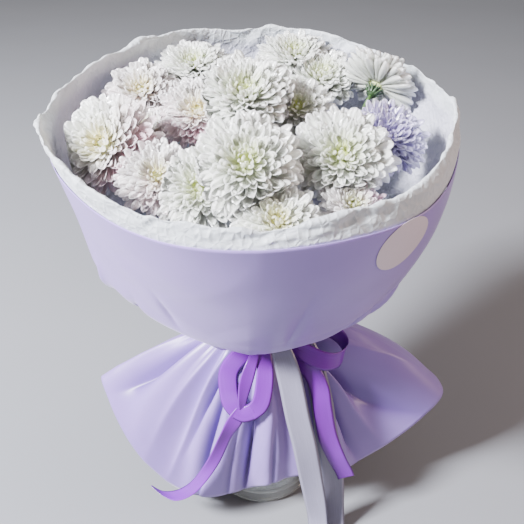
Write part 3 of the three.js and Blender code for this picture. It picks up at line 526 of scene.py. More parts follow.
def grain(tree, size, detail=2.0, roughness=0.5, squeeze=(1, 1, 1), place=None):
    """Noise with blobs of that size, on Object coordinates unless another place is given."""
    place = place or add_node(tree, "TexCoord", output="Object")
    mapping = add_node(tree, "Mapping", {"Scale": squeeze, "Vector": place})
    return add_node(tree, "TexNoise", {"Scale": 1 / size, "Detail": detail,
                                       "Roughness": roughness, "Vector": mapping})


def mottled(tree, colour, dark, light, size, detail):
    """A colour that drifts in blobs of that size between two shades, given as shares of it."""
    return add_node(tree, "ValToRGB", {
        "Fac": grain(tree, size, detail), "stops": [(0.3, colour * dark), (0.7, colour * light)]})


def petal_material(name, settings, tint, deep):
    """Fresh petals: waxy, a little see-through, so that light glows in their thin rims.

    The colour goes from the heart's lime or yellow through the deep tone at the petal's root
    to the tint at its tip, with a pink flush where the mesh says so, and painted shade in the
    middle of each blade that leaves its rims bright.
    """
    material, tree = new_material(name)
    along, rim, flush, yellow, heart = (
        add_node(tree, "Attribute", {"attribute_name": key}, "Fac")
        for key in ("along", "rim", "flush", "yellow", "heart"))
    body = add_node(tree, "ValToRGB", {"Fac": along, "stops": [
        (0.15, deep), (0.62, mixed(deep, tint, 0.75)), (1.0, tint)]})
    # Painted light: the middle of each blade is darkened by painted shade, so that its thin rims
    # and tip stay bright like a painted highlight.
    middle = add_node(tree, "Math", {"operation": "SUBTRACT", "use_clamp": True, 0: 1.0, 1: rim})
    shaded = add_node(tree, "Mix", {"data_type": "RGBA", "blend_type": "MULTIPLY", SHARE: middle,
                                    FIRST: body, SECOND: (0.85, 0.88, 0.82)}, MIXED)
    flushed = add_node(tree, "Mix", {"data_type": "RGBA", SHARE: flush, FIRST: shaded,
                                     SECOND: settings.flush}, MIXED)
    centre = add_node(tree, "Mix", {"data_type": "RGBA", SHARE: yellow, FIRST: settings.lime,
                                    SECOND: settings.yellow}, MIXED)
    inner = add_node(tree, "Math", {"operation": "SUBTRACT", 0: 1.25, 1: along})
    centred = add_node(tree, "Math", {"operation": "MULTIPLY", "use_clamp": True, 0: heart,
                                      1: inner})
    colour = add_node(tree, "Mix", {"data_type": "RGBA", SHARE: centred, FIRST: flushed,
                                    SECOND: centre}, MIXED)
    # Lengthwise veins about 1 mm apart, coarser than the real ones so that they show.
    veins = grain(tree, 1 / 7, 2.0, 0.6, (1.0, 0.12, 1.0), add_node(tree, "UVMap"))
    return finished(material, {
        "Base Color": colour, "Roughness": settings.roughness, "IOR": 1.42,
        "Subsurface Weight": settings.glow, "Subsurface Radius": (1.0, 0.97, 0.88),
        "Subsurface Scale": 14 * MM, "Coat Weight": 0.5, "Coat Roughness": 0.14,
    }, veins, 0.7 * MM, 0.6)


def film_material(settings):
    """Frosted polypropylene wrapping film: matt, softly glossy on its folds, cloudy inside."""
    made = bpy.data.materials.get("frosted_wrapping_film")
    if made:
        return made
    material, tree = new_material("frosted_wrapping_film")
    film = np.array(settings.colour)
    # Painted shade: the colour is darker where this value is high, in the inward folds and over the
    # lower film, standing in for the shade there; in part it is also the deeper colour of film that
    # lies doubled in a pleat.
    pleat = add_node(tree, "Attribute", {"attribute_name": "pleat"}, "Fac")
    colour = add_node(tree, "Mix", {
        "data_type": "RGBA", SHARE: pleat, FIRST: mottled(tree, film, 0.93, 1, 42 * MM, 3.0),
        SECOND: film * (0.5, 0.45, 0.6)}, MIXED)
    # The frosting is about 0.1 mm and is drawn at 0.8 mm, so that it breaks the gloss a little.
    return finished(material, {
        "Base Color": colour, "Roughness": settings.roughness, "IOR": 1.49,
        "Subsurface Weight": settings.glow, "Subsurface Radius": (1.0, 0.85, 1.1),
        "Subsurface Scale": 4 * MM, "Sheen Weight": 0.15, "Sheen Roughness": 0.4,
    }, grain(tree, 0.8 * MM, 1.0), 0.03 * MM)


def tissue_material(settings):
    """White wrapping tissue: thin crumpled paper that lets light through between its creases."""
    material, tree = new_material("crumpled_tissue_paper")
    tissue = np.array(settings.tissue)
    paper = add_node(tree, "ValToRGB", {"Fac": grain(tree, 14 * MM, 4.0, 0.62),
                                        "stops": [(0.3, tissue * 0.93), (0.62, tissue)]})
    # Below the rim the thin paper lies on the lilac film, which shows through it.
    white = add_node(tree, "Attribute", {"attribute_name": "white"}, "Fac")
    backed = add_node(tree, "Math", {"operation": "SUBTRACT", "use_clamp": True, 0: 1.0,
                                     1: white})
    shown = add_node(tree, "Math", {"operation": "MULTIPLY", 0: backed, 1: 0.32})
    colour = add_node(tree, "Mix", {"data_type": "RGBA", SHARE: shown, FIRST: paper,
                                    SECOND: settings.colour}, MIXED)
    # Small creases 7 mm apart: the border between cells is where the paper has been bent.
    border = add_node(tree, "TexVoronoi", {
        "feature": "DISTANCE_TO_EDGE", "Scale": 1 / (7 * MM), "Randomness": 1.0,
        "Vector": add_node(tree, "TexCoord", output="Object")}, "Distance")
    bent = add_node(tree, "MapRange", {"Value": border, "From Min": 0.0, "From Max": 0.25,
                                       "To Min": 1.0, "To Max": 0.0})
    rough = add_node(tree, "Math", {"operation": "ADD", 0: bent, 1: grain(tree, 5 * MM, 3.0)})
    return finished(material, {
        "Base Color": colour, "Roughness": 0.55, "IOR": 1.45, "Subsurface Weight": 0.5,
        "Subsurface Radius": (1.0, 1.0, 1.1), "Subsurface Scale": 4 * MM, "Sheen Weight": 0.2,
    }, rough, 0.8 * MM, 0.6)


def satin_material(name, colour, settings):
    """Woven satin ribbon: long smooth threads that give a bright, slightly drawn-out gloss."""
    material, tree = new_material(name)
    # Threads are about 0.15 mm apart and are drawn at 0.6 mm, so that they show.
    threads = grain(tree, 0.6 * MM, 2.0, 0.7, (1.0, 0.02, 1.0), add_node(tree, "UVMap"))
    woven = add_node(tree, "ValToRGB", {"Fac": threads, "stops": [
        (0.3, colour * 0.86), (0.7, np.minimum(colour * 1.06, 1))]})
    return finished(material, {
        "Base Color": woven, "Roughness": settings.roughness, "IOR": 1.5, "Anisotropic": 0.5,
        "Specular IOR Level": 0.45, "Coat Weight": 0.2, "Coat Roughness": 0.16,
    }, threads, 0.06 * MM)


def glass_material(settings):
    """Pressed soda-lime glass: clear, faintly green in its thick floor."""
    material, tree = new_material("clear_pressed_glass")
    # Pressing leaves the face a little wavy, in ripples about 18 mm long.
    return finished(material, {
        "Base Color": settings.glass, "Roughness": settings.glass_roughness, "IOR": 1.52,
        "Transmission Weight": 0.86,
    }, grain(tree, 18 * MM, 1.0), 0.4 * MM, 0.25)


def water_material(settings):
    """Water: clear, with a faint green cast from the leaves."""
    return finished(new_material("clear_water")[0], {
        "Base Color": settings.water, "Roughness": 0.0, "IOR": 1.333, "Transmission Weight": 1.0})


def stem_material(settings):
    """Cut green stem: matt, streaked along its length and finely ribbed."""
    material, tree = new_material("green_stem")
    streaks = grain(tree, 2.5 * MM, 3.0, 0.6, (1, 1, 0.12))
    stem = np.array(settings.stem)
    colour = add_node(tree, "ValToRGB", {"Fac": streaks, "stops": [(0.3, stem * 0.6),
                                                                  (0.7, stem * 1.3)]})
    return finished(material, {
        "Base Color": colour, "Roughness": 0.55, "IOR": 1.4, "Subsurface Weight": 0.05,
        "Subsurface Scale": 1 * MM,
    }, streaks, 0.3 * MM)


def leaf_material(settings):
    """Chrysanthemum leaf: dark and softly glossy above, with paler veins."""
    material, tree = new_material("green_leaf")
    leaf = np.array(settings.leaf)
    vein = add_node(tree, "Attribute", {"attribute_name": "vein"}, "Fac")
    colour = add_node(tree, "Mix", {
        "data_type": "RGBA", SHARE: vein, FIRST: mottled(tree, leaf, 0.7, 1.2, 6 * MM, 4.0),
        SECOND: leaf * 2.0}, MIXED)
    return finished(material, {
        "Base Color": colour, "Roughness": 0.45, "IOR": 1.42, "Subsurface Weight": 0.1,
        "Subsurface Scale": 1 * MM, "Coat Weight": 0.1, "Coat Roughness": 0.3,
    }, grain(tree, 1.6 * MM), 0.2 * MM)


def label_material(settings):
    """Coated paper label, die-cut and left bare: pale, smooth and faintly mottled."""
    material, tree = new_material("coated_paper_label")
    return finished(material, {
        "Base Color": mottled(tree, np.array(settings.label), 0.96, 1, 1.2 * MM, 3.0),
        "Roughness": 0.42, "IOR": 1.5, "Coat Weight": 0.15, "Coat Roughness": 0.3,
    }, grain(tree, 0.5 * MM, 1.0), 0.02 * MM, 0.4)


def floor_material():
    """Matt painted studio floor: grey, with an unevenness that hardly shows."""
    material, tree = new_material("matt_studio_floor")
    return finished(material, {
        "Base Color": mottled(tree, np.array(linear("#7c7e83")), 0.97, 1, 300 * MM, 2.0),
        "Roughness": 0.8})


# ------------------------------------------------------------------ settings

def colour_property(name, description, hex_colour):
    """A colour whose default is a hex value."""
    return FloatVectorProperty(name=name, description=description, subtype="COLOR", size=3,
                               min=0, max=1, default=linear(hex_colour))


def share_property(name, description, default):
    """A number between nought and one."""
    return FloatProperty(name=name, description=description, default=default, min=0, max=1,
                         subtype="FACTOR")


def length_property(name, description, default, low, high):
    """A length in metres, within limits."""
    return FloatProperty(name=name, description=description, default=default, min=low, max=high,
                         unit="LENGTH")


def cut_property(name, sheet, default):
    """The width and length of a sheet that is laid flat, in metres."""
    return FloatVectorProperty(name=name, size=2, unit="LENGTH", default=default,
                               description=f"Width and length of the {sheet}, laid flat")


class WrapSettings(bpy.types.PropertyGroup):
    """The film, the tissue and the label."""
    colour: colour_property("Film", "Colour of the wrapping film", "#937ac0")
    tissue: colour_property("Tissue", "Colour of the tissue lining", "#dde4ee")
    label: colour_property("Label", "Colour of the bare round label", "#cdbcc3")
    roughness: share_property("Roughness", "How matt the film is", 0.38)
    glow: share_property("Cloudiness", "How much light spreads in the film", 0.08)
    thickness: length_property("Thickness", "Thickness of the film's sheet",
                               0.0004, 0.0001, 0.0008)
    crumple: length_property("Crumple", "Height of the tissue's largest creases",
                             0.0021, 0, 0.004)
    upper_cut: cut_property("Upper film's cut", "upper film", (0.5, 0.5))
    lower_cut: cut_property("Lower film's cut", "lower film", (0.4, 0.4))
    tissue_cut: cut_property("Tissue's cut", "tissue", (0.52, 0.52))


class BloomSettings(bpy.types.PropertyGroup):
    """The petals."""
    white: colour_property("White", "Petal tip of the white blooms", "#fcfcf9")
    white_deep: colour_property("White root", "Petal root of the white blooms", "#f1f4e2")
    blush: colour_property("Blush", "Petal tip of the blush blooms", "#fbf6f7")
    blush_deep: colour_property("Blush root", "Petal root of the blush blooms", "#f4dde4")
    lilac: colour_property("Lilac", "Petal tip of the lilac bloom", "#bcaee2")
    lilac_deep: colour_property("Lilac root", "Petal root of the lilac bloom", "#a592d2")
    flush: colour_property("Flush", "Pink that some petals are flushed with", "#f3c3d4")
    lime: colour_property("Lime heart", "Heart of most of the blooms", "#c2d052")
    yellow: colour_property("Yellow heart", "Heart of the other blooms", "#ecdc6c")
    roughness: share_property("Roughness", "How matt the petals are", 0.28)
    glow: share_property("Glow", "How much light spreads in a petal", 0.65)
    petal_thickness: length_property("Thickness", "Thickness of a petal",
                                     0.0005, 0.0002, 0.001)


class GreenSettings(bpy.types.PropertyGroup):
    """The stems and leaves."""
    stem: colour_property("Stem", "Colour of the stems", "#3f5c2e")
    leaf: colour_property("Leaf", "Colour of the leaves", "#2b4426")


class JarSettings(bpy.types.PropertyGroup):
    """The jar and its water."""
    glass: colour_property("Glass", "Tint of the glass", "#f1f6f3")
    water: colour_property("Water", "Tint of the water", "#eff4ef")
    glass_roughness: share_property("Roughness", "How matt the glass is", 0.0)


class RibbonSettings(bpy.types.PropertyGroup):
    """The two satin ribbons."""
    lilac: colour_property("Lilac satin", "Colour of the lilac ribbon", "#6c1599")
    # The white satin is given a dark grey-lilac, far darker than white satin: painted shade over
    # the whole ribbon.
    white: colour_property("White satin", "Colour of the white ribbon", "#7d7a8e")
    roughness: share_property("Roughness", "How matt the satin is", 0.34)
    thickness: length_property("Thickness", "Thickness of the ribbon", 0.0004, 0.0001, 0.0008)


class BouquetSettings(bpy.types.PropertyGroup):
    """Everything that a user would change."""
    wrap: PointerProperty(type=WrapSettings)
    blooms: PointerProperty(type=BloomSettings)
    green: PointerProperty(type=GreenSettings)
    jar: PointerProperty(type=JarSettings)
    ribbons: PointerProperty(type=RibbonSettings)


# ------------------------------------------------------------------ stage

def area_light(name, place, size, watts, colour):
    """A square soft light at a place, turned towards the lit point."""
    light = bpy.data.lights.new(name, "AREA")
    light.energy, light.size, light.color = watts, size, linear(colour)
    lamp = bpy.data.objects.new(name, light)
    lamp.location = place
    lamp.rotation_mode = "QUATERNION"
    lamp.rotation_quaternion = (Vector(LIT_POINT) - Vector(place)).to_track_quat("-Z", "Y")
    bpy.context.scene.collection.objects.link(lamp)


class BOUQUET_OT_stage(bpy.types.Operator):
    """Makes the camera, the grey floor and the soft studio light"""
    bl_idname = "bouquet.stage"
    bl_label = "Stage"

    def execute(self, context):
        camera = bpy.data.objects.new("camera", bpy.data.cameras.new("camera"))
        context.scene.collection.objects.link(camera)
        camera.data.sensor_width = CAMERA["sensor"]
        camera.data.lens = CAMERA["sensor"] * CAMERA["focal_pixels"] / CAMERA["pixels"]
        camera.data.clip_end = CAMERA["sees"]
        camera.location = (0, -CAMERA["in_front"], CAMERA["height"])
        camera.rotation_euler = (math.radians(90 - CAMERA["down"]), 0, 0)
        context.scene.camera = camera

        half = FLOOR["half"]
        mesh = bpy.data.meshes.new("floor")
        mesh.from_pydata([(-half, -half, 0), (half, -half, 0), (half, half, 0),
                          (-half, half, 0)], [], [(0, 1, 2, 3)])
        floor = bpy.data.objects.new("floor", mesh)
        floor.location.z = -FLOOR["down"]
        context.scene.collection.objects.link(floor)
        mesh.materials.append(floor_material())

        colour, strength = ROOM
        world = bpy.data.worlds.new("studio")
        world.use_nodes = True
        background = world.node_tree.nodes["Background"]
        background.inputs["Color"].default_value = (*linear(colour), 1)
        background.inputs["Strength"].default_value = strength
        context.scene.world = world
        for light in LIGHTS:
            area_light(*light)
        return {"FINISHED"}


# ------------------------------------------------------------------ jar and water

def bed_corner(inside, bed):
    """The rounded corner over the jar's floor as (radius, height), from the middle outwards."""
    return [(inside - 16, bed), (inside - 4, bed + 2), (inside, bed + 12), (inside, bed + 30)]


class BOUQUET_OT_jar(bpy.types.Operator):
    """Turns the glass jar: a straight cylinder with a thick floor and a round foot and lip"""
    bl_idname = "bouquet.jar"
    bl_label = "Glass jar"

    def execute(self, context):
        radius, height = JAR["radius"], JAR["height"]
        inside, foot = radius - JAR["wall"], JAR["foot_radius"]
        # From the hollow under the foot, round its bead, past the mould's seam and over the lip.
        profile = rounded([
            (foot - 12, 0.6), (foot - 3, 0), (foot + 5, 1.2), (foot + 6.4, 3.4), (foot + 5.6, 4.4),
            (radius, 8), (radius, 10.2), (radius - 0.9, 11), (radius, 11.8), (radius, height - 2),
            (radius - 1.5, height), (inside, height - 2), *bed_corner(inside, JAR["floor"])[::-1]])
        make_piece("glass_jar_body", [tube_part(revolved(profile, POINTS_ROUND["jar"]))],
                   [glass_material(context.scene.bouquet.jar)], "glass_jar")
        return {"FINISHED"}


class BOUQUET_OT_water(bpy.types.Operator):
    """Fills the jar to its level, with the water drawn up a little at the glass"""
    bl_idname = "bouquet.water"
    bl_label = "Water"

    def execute(self, context):
        inside = JAR["radius"] - JAR["wall"] - WATER["gap"]
        level = WATER["level"]
        profile = rounded([
            *bed_corner(inside, JAR["floor"] + WATER["gap"]), (inside, level + 1.5),
            (inside - 1.2, level + 0.2), (inside - 8, level)])
        make_piece("jar_water", [tube_part(revolved(profile, POINTS_ROUND["water"]))],
                   [water_material(context.scene.bouquet.jar)], "water")
        return {"FINISHED"}


# ------------------------------------------------------------------ blooms

def bloom_place(bloom):
    """A bloom's three directions, its seat, its collar under the calyx, and its middle."""
    _, _, around, out, top, radius, lean, facing = bloom
    face, lean = math.radians(facing), math.radians(lean)
    axis = np.array([math.cos(face) * math.sin(lean), math.sin(face) * math.sin(lean),
                     math.cos(lean)])
    heart = polar(math.radians(around), out, top, RIM["x"])
    across = np.array([-math.sin(face), math.cos(face), 0.0])
    seat = heart - HEART * radius * axis
    return {"axis": axis, "across": across, "outward": np.cross(across, axis), "seat": seat,
            "collar": seat - CALYX_DEPTH * axis, "middle": seat + axis * MIDDLE * radius}


def around_axis(place, angle):
    """Directions square to a bloom's axis: across * cos(angle) + outward * sin(angle)."""
    return place["across"] * np.cos(angle)[:, None] + place["outward"] * np.sin(angle)[:, None]


def bloom_limits(bloom):
    """Planes (normal, limit) that part a bloom from its neighbours.

    A plane stands between two blooms' middles, parted by their radii; petals may interleave
    past it by a little.
    """
    middle, radius = bloom_place(bloom)["middle"], bloom[5]
    limits = []
    for other in BLOOMS:
        both = radius + other[5]
        away = bloom_place(other)["middle"] - middle
        distance = np.linalg.norm(away)
        if other is not bloom and distance <= PRESS["near"] * both:
            normal = away / distance
            reach = distance * radius / both + PRESS["overlap"]
            limits.append((normal, normal @ middle + reach))
    return limits


def held_back(over):
    """How far a point moves back so that it never passes a limit: over is its distance past it.

    Past -give the distance d becomes -give * exp(-(d + give) / give), so it never gets to 0.
    """
    give = PRESS["give"]
    return np.where(over > -give, -give * np.exp(-(over + give) / give) - over, 0)[..., None]


def pressed(points, limits, axis):
    """Points pressed back where they pass a plane, and lifted along the axis by a part of that.

    Last they are kept inside the tissue, a round wall that leans in below the rim.
    """
    for normal, limit in limits:
        moved = held_back(points @ normal - limit)
        points = points + moved * normal - PRESS["lift"] * moved * axis
    flat = (points - (RIM["x"], 0, 0)) * (1, 1, 0)
    reach = np.linalg.norm(flat, axis=-1)
    around = np.arctan2(flat[..., 1], flat[..., 0])
    rim = RIM["height"] + RIM["slope"] * points[..., 1]
    below = np.maximum(0, rim - WALL["below"] - points[..., 2])
    wall = (RIM["radius"] - WALL["gap"] - HOLLOW["rim_inset"] * felt(HOLLOW, around)
            - WALL["lean"] * below)
    return points + held_back(reach - wall) * flat / np.maximum(reach, 1)[..., None]


def petal_grid(place, radius, count, thickness, seed):
    """All petals of a bloom as (petals, stations, section, 3), and what their colour needs.

    Petal k stands at k golden angles. Its tip's polar angle a on the dome has a cosine that
    goes evenly from the rim's to 1, so the petals share the dome evenly. In the plane of the
    petal the line is a quadratic curve from root (0.04 + 0.16 sin a, 0.12 + 0.34 cos a) to tip
    (sin a, 0.72 cos a), in bloom radii, bowed up at the rim and outwards at the heart.
    """
    rng = np.random.default_rng(seed)
    order = np.arange(count)
    share = order / (count - 1)
    wobble = rng.uniform(-1, 1, (8, count))
    turned = order * GOLDEN_ANGLE + 0.09 * wobble[0]
    polar_angle = np.arccos(np.clip(mixed(-0.13, 0.995, share ** 0.8), -1, 1)) + 0.06 * wobble[1]
    sine, cosine = np.sin(polar_angle), np.cos(polar_angle)
    length = 1 + 0.07 * wobble[2]
    root = np.stack([0.04 + 0.16 * sine, 0.12 + 0.34 * np.clip(cosine, 0, 1)], -1)
    dip = 0.1 * np.exp(-((polar_angle / 0.35) ** 2))
    tip = np.stack([sine * length, (0.72 - dip) * cosine * length], -1)
    chord = tip - root
    bow = mixed(0.22, -0.12, smooth_step(0.1, 1.45, polar_angle)) + 0.03 * wobble[3]
    control = (root + tip) / 2 + bow[:, None] * np.stack([chord[:, 1], -chord[:, 0]], -1)
    t = 1 - (1 - np.linspace(0, 1, POINTS_ALONG["petal"])) ** 1.5
    line = bezier(root[:, None], control[:, None], tip[:, None], t[None, :, None])
    step = unit(np.gradient(line, axis=1))
    rise = np.stack([-step[..., 1], step[..., 0]], -1)
    curl = mixed(0.07, 0.2, smooth_step(0.4, 1.4, polar_angle)) * (1 + 0.8 * wobble[4])
    line = line + rise * (curl[:, None] * t ** 4)[..., None]

    out = around_axis(place, turned)
    side = np.cross(out, place["axis"])
    centre = place["seat"] + radius * (
        out[:, None] * line[..., :1] + place["axis"] * line[..., 1:])
    centre = centre + side[:, None] * (radius * 0.05 * wobble[5][:, None] * t ** 2)[..., None]
    up = out[:, None] * rise[..., :1] + place["axis"] * rise[..., 1:]
    twist = (0.35 * wobble[6])[:, None, None] * t[None, :, None]
    side, up = (side[:, None] * np.cos(twist) + up * np.sin(twist),
                up * np.cos(twist) - side[:, None] * np.sin(twist))
    widest = radius * mixed(0.042, 0.118, smooth_step(0.05, 1.35, polar_angle) ** 0.7)
    widest = widest * (1 + 0.1 * wobble[7])
    swell = 0.34 + 0.66 * smooth_step(0.0, 0.72, t)
    tip_round = np.sqrt(np.clip(1 - (np.clip(t - 0.74, 0, 1) / 0.262) ** 2, 0.004, 1))
    half_width = widest[:, None] * swell * tip_round
    cup = 0.5 + 0.45 * smooth_step(0.3, 1.0, t)[None] + 0 * half_width
    points, v = blade_points(centre, side, up, half_width, cup, thickness / MM)
    # rim: where a petal's colour is spared the painted shade of its middle, on its edges and tip,
    # as a painted highlight.
    rim = np.maximum(np.abs(v)[None] ** 3, smooth_step(0.8, 1.0, t)[:, None])
    return points, {"turned": turned, "t": t, "v": v, "angle": polar_angle, "rim": rim}


def core_points(place, radius):
    """The core that the petals stand on, as one tube: an egg 0.48 radii wide and 0.44 high."""
    down = np.linspace(0.02, math.pi - 0.02, 8)
    reach, height = 0.24 * np.sin(down), 0.27 + 0.22 * np.cos(down)
    out = around_axis(place, full_turn(16))
    return (place["seat"] + radius * (out[None] * reach[:, None, None]
                                      + place["axis"] * height[:, None, None]))[None]


class BOUQUET_OT_blooms(bpy.types.Operator):
    """Grows the seventeen blooms, each of 145 to 215 petals round its heart"""
    bl_idname = "bouquet.blooms"
    bl_label = "Blooms"

    def execute(self, context):
        settings = context.scene.bouquet.blooms
        materials = {
            tint: petal_material(f"waxy_{tint}_petals", settings,
                                 np.array(getattr(settings, tint)),
                                 np.array(getattr(settings, tint + "_deep")))
            for tint in ("white", "blush", "lilac")
        }
        for seed, bloom in enumerate(BLOOMS, BLOOM_SEED):
            name, radius = bloom[0], bloom[5]
            place, limits = bloom_place(bloom), bloom_limits(bloom)
            count = next(petals for least, petals in PETAL_COUNTS if radius >= least)
            points, about = petal_grid(place, FULLER.get(name, FULL) * radius, count,
                                       settings.petal_thickness, seed)
            # The flush goes with the square of how much a petal points towards its direction.
            aim, strength = FLUSHES.get(name, (0, 0.0))
            out = around_axis(place, about["turned"])
            towards = (out[:, 0] * math.cos(math.radians(aim))
                       + out[:, 1] * math.sin(math.radians(aim)))
            flush = strength * (0.5 + 0.5 * towards) ** 2 * smooth_step(0.3, 1.4, about["angle"])
            tint = TINTS.get(name, "white")
            heart = (tint != "lilac") * (1 - smooth_step(0.12, 0.8, about["angle"]))
            along = about["t"][None, :, None]
            petals = tube_part(
                pressed(points, limits, place["axis"]), along=along, rim=about["rim"][None],
                # Each petal has a stretch of the pattern of its own.
                uv=(about["v"][None, None], along + 3.7 * np.arange(count)[:, None, None]),
                heart=heart[:, None, None], flush=np.clip(flush, 0, 1)[:, None, None],
                yellow=YELLOW_HEARTS.get(name, 0.0))
            core = tube_part(pressed(core_points(place, radius), limits, place["axis"]),
                             along=0.2, heart=0.6)
            make_piece(f"petals_{name}", [petals, core], [materials[tint]],
                       f"bloom_{name}")
        return {"FINISHED"}


# ------------------------------------------------------------------ sprays

def stem_line(ring, fork):
    """A smooth line through a stem's foot, its bend, the tie and its fork, and the tie's point."""
    if ring is None:
        foot, bend, waist = (UP * STEM[key] for key in ("foot", "bend", "waist"))
    else:
        around = math.radians(ring)
        foot = polar(around, STEM["foot_ring"], STEM["foot"])
        bend, waist = (polar(around, STEM["ring"], STEM[key]) for key in ("bend", "waist"))
    upper = bezier(waist, waist + STEM["rise"] * UP, fork, np.linspace(0, 1, 7)[:, None])
    stations = np.concatenate([[foot, mixed(foot, bend, 0.5), mixed(foot, bend, 0.85),
                                mixed(bend, waist, 0.4)], upper])
    return spline(stations, np.linspace(0, 1, POINTS_ALONG["stem"])), waist


def leaf_parts(point, turned, size, seed):
    """A lobed leaf with a toothed edge, drooping along t^2.

    Half its width follows the lobes' table, smoothed once and toothed by a triangle wave. The
    blade sinks by 0.8 |v| along forward-running veins, and rolls by 0.5 v sin 9t, where v goes
    from -1 to 1 across it.
    """
    rng = np.random.default_rng(seed)
    around = math.radians(turned)
    out = unit(np.array([math.cos(around), math.sin(around), 0.35]))
    side = unit(np.array([-out[1], out[0], 0.0]))
    t = np.linspace(0, 1, POINTS_ALONG["leaf"])
    stops, widths = np.array(LEAF["lobes"]).T
    width = np.interp(t, stops, widths)
    width = np.convolve(np.pad(width, 1, "edge"), [0.25, 0.5, 0.25], "valid")
    teeth = 1 + 0.1 * fold_wave(t * 60 + rng.uniform(0, 6))
    half_width = np.maximum(width * teeth * LEAF["width"] * size, 0.4)
    half_width[-1] = 0.15
    droop = LEAF["droop"] * size * t ** 2
    centre = point + out * (t * LEAF["length"] * size)[:, None] - UP * droop[:, None]
    along = unit(np.gradient(centre, axis=0))
    up = np.cross(along, side)
    up = up * np.sign(up[:, 2:3])
    v = np.concatenate([np.linspace(-1, 1, 9), np.linspace(1, -1, 9)[1:-1]])
    vein = np.abs(np.sin((t[:, None] - 0.28 * np.abs(v)) * 19)) ** 6
    lift = -0.8 * vein * np.abs(v) + 0.5 * size * np.sin(9 * t)[:, None] * v
    points, v = blade_points(centre, np.broadcast_to(side, centre.shape), up, half_width,
                             0.12 + 0 * t, 0.7, across=9, lift=lift)
    vein = np.maximum(vein, 1 - smooth_step(0.0, 0.12, np.abs(v))[None])
    return tube_part(points[None], paint=1, vein=vein[None])


def calyx_parts(place, radius):
    """The green cup under a bloom, with two rings of small pointed bracts on it."""
    collar, profile = place["collar"], np.array(CALYX_PROFILE)
    out = around_axis(place, full_turn(20))
    cup = (collar + out[None] * profile[:, :1, None] + place["axis"] * profile[:, 1:, None])[None]
    order = np.arange(2 * BRACTS)
    ring = order // BRACTS
    out = around_axis(place, order / BRACTS * TURN + ring * TURN / (2 * BRACTS))
    t = np.linspace(0, 1, 6)[None]
    reach = mixed(4.6, 6.6 + 0.09 * radius, t ** 1.4) - 0.6 * ring[:, None]
    height = mixed(1.2, 7.6, t) + 1.6 * ring[:, None]
    centre = collar + out[:, None] * reach[..., None] + place["axis"] * height[..., None]
    side = np.broadcast_to(np.cross(out, place["axis"])[:, None], centre.shape)
    up = np.cross(side, unit(np.gradient(centre, axis=1)))
    width = 1.5 * np.sqrt(np.clip(1 - t ** 2.2, 0.01, 1)) + 0 * reach
    bracts, _ = blade_points(centre, side, up, width, 0.2 + 0 * width, 0.5)
    return [tube_part(cup, paint=1), tube_part(bracts, paint=1)]


class BOUQUET_OT_sprays(bpy.types.Operator):
    """Grows the seven stems with their pedicels, calyces and leaves"""
    bl_idname = "bouquet.sprays"
    bl_label = "Stems and leaves"

    def execute(self, context):
        settings = context.scene.bouquet.green
        materials = [stem_material(settings), leaf_material(settings)]
        for index, (name, (ring, fork)) in enumerate(SPRAYS.items()):
            fork = np.array(fork, float)
            line, waist = stem_line(ring, fork)
            spread = waist + STEM["rise"] * UP
            thin = STEM["radius"] - STEM["taper"]
            radii = mixed(STEM["radius"], thin, np.linspace(0, 1, len(line)) ** 3)
            parts = [tube_part(tube(line, radii, sides=20)[None])]
            tangent = unit(fork - spread)
            for bloom in (entry for entry in BLOOMS if entry[1] == name):
                place = bloom_place(bloom)
                # A cubic curve from the fork, along the stem, to the collar, along the axis.
                arm = 0.4 * np.linalg.norm(place["collar"] - fork)
                t = np.linspace(0, 1, POINTS_ALONG["pedicel"])[:, None]
                a, b = fork - 3 * tangent, fork + 0.7 * arm * tangent
                c, d = (place["collar"] + way * place["axis"] for way in (-arm, 1.5))
                branch = mixed(bezier(a, b, c, t), bezier(b, c, d, t), t)
                thick = PEDICEL_RADIUS * mixed(1.15, 0.95, t[:, 0])
                parts.append(tube_part(tube(branch, thick, sides=12)[None]))
                parts += calyx_parts(place, bloom[5])
                for turn, at in PEDICEL_LEAVES:
                    parts.append(leaf_parts(branch[at], bloom[2] + turn, PEDICEL_LEAF_SIZE,
                                            bloom[5] + at))
            for number, (share, turned, size) in enumerate(LEAVES[name]):
                point = bezier(waist, spread, fork, share)
                seed = LEAF_SEED + 10 * index + number
                parts.append(leaf_parts(point, turned, size, seed))
            make_piece(f"stems_{name}", parts, materials, f"spray_{name}")
        return {"FINISHED"}


# ------------------------------------------------------------------ wrap

def creases(angle, along, table):
    """Crumple of a sheet: a sum of triangle waves over the angle and the height.

    Each wave has a slanting front, count * angle +- 2 pi * along / length, bent by a slow sine
    of the table's warp, and fades in and out in patches.
    """
    rng, warp = np.random.default_rng(table["seed"]), table["warp"]
    total = 0.0
    for around, length, height in table["waves"]:
        phase = rng.uniform(0, TURN, 5)
        slope = rng.choice([-1, 1]) * TURN / length
        bent = warp * np.sin(round(around / 3 + 1) * angle + phase[0] + along / 37)
        patch = 0.5 + 0.5 * np.sin(round(around / 4 + 2) * angle + phase[1]
                                   + 1.3 * np.sin(along / 29 + phase[2]))
        total = total + height * patch * fold_wave(around * angle + slope * along + bent + phase[3])
    return total


def signed_power(value, power):
    """The power of a number that keeps its sign."""
    return np.sign(value) * np.abs(value) ** power


def felt(change, angle):
    """How much of a local change is felt at an angle: one in its middle, none a quarter off."""
    return np.maximum(0, np.cos(angle - math.radians(change["around"]))) ** change["power"]


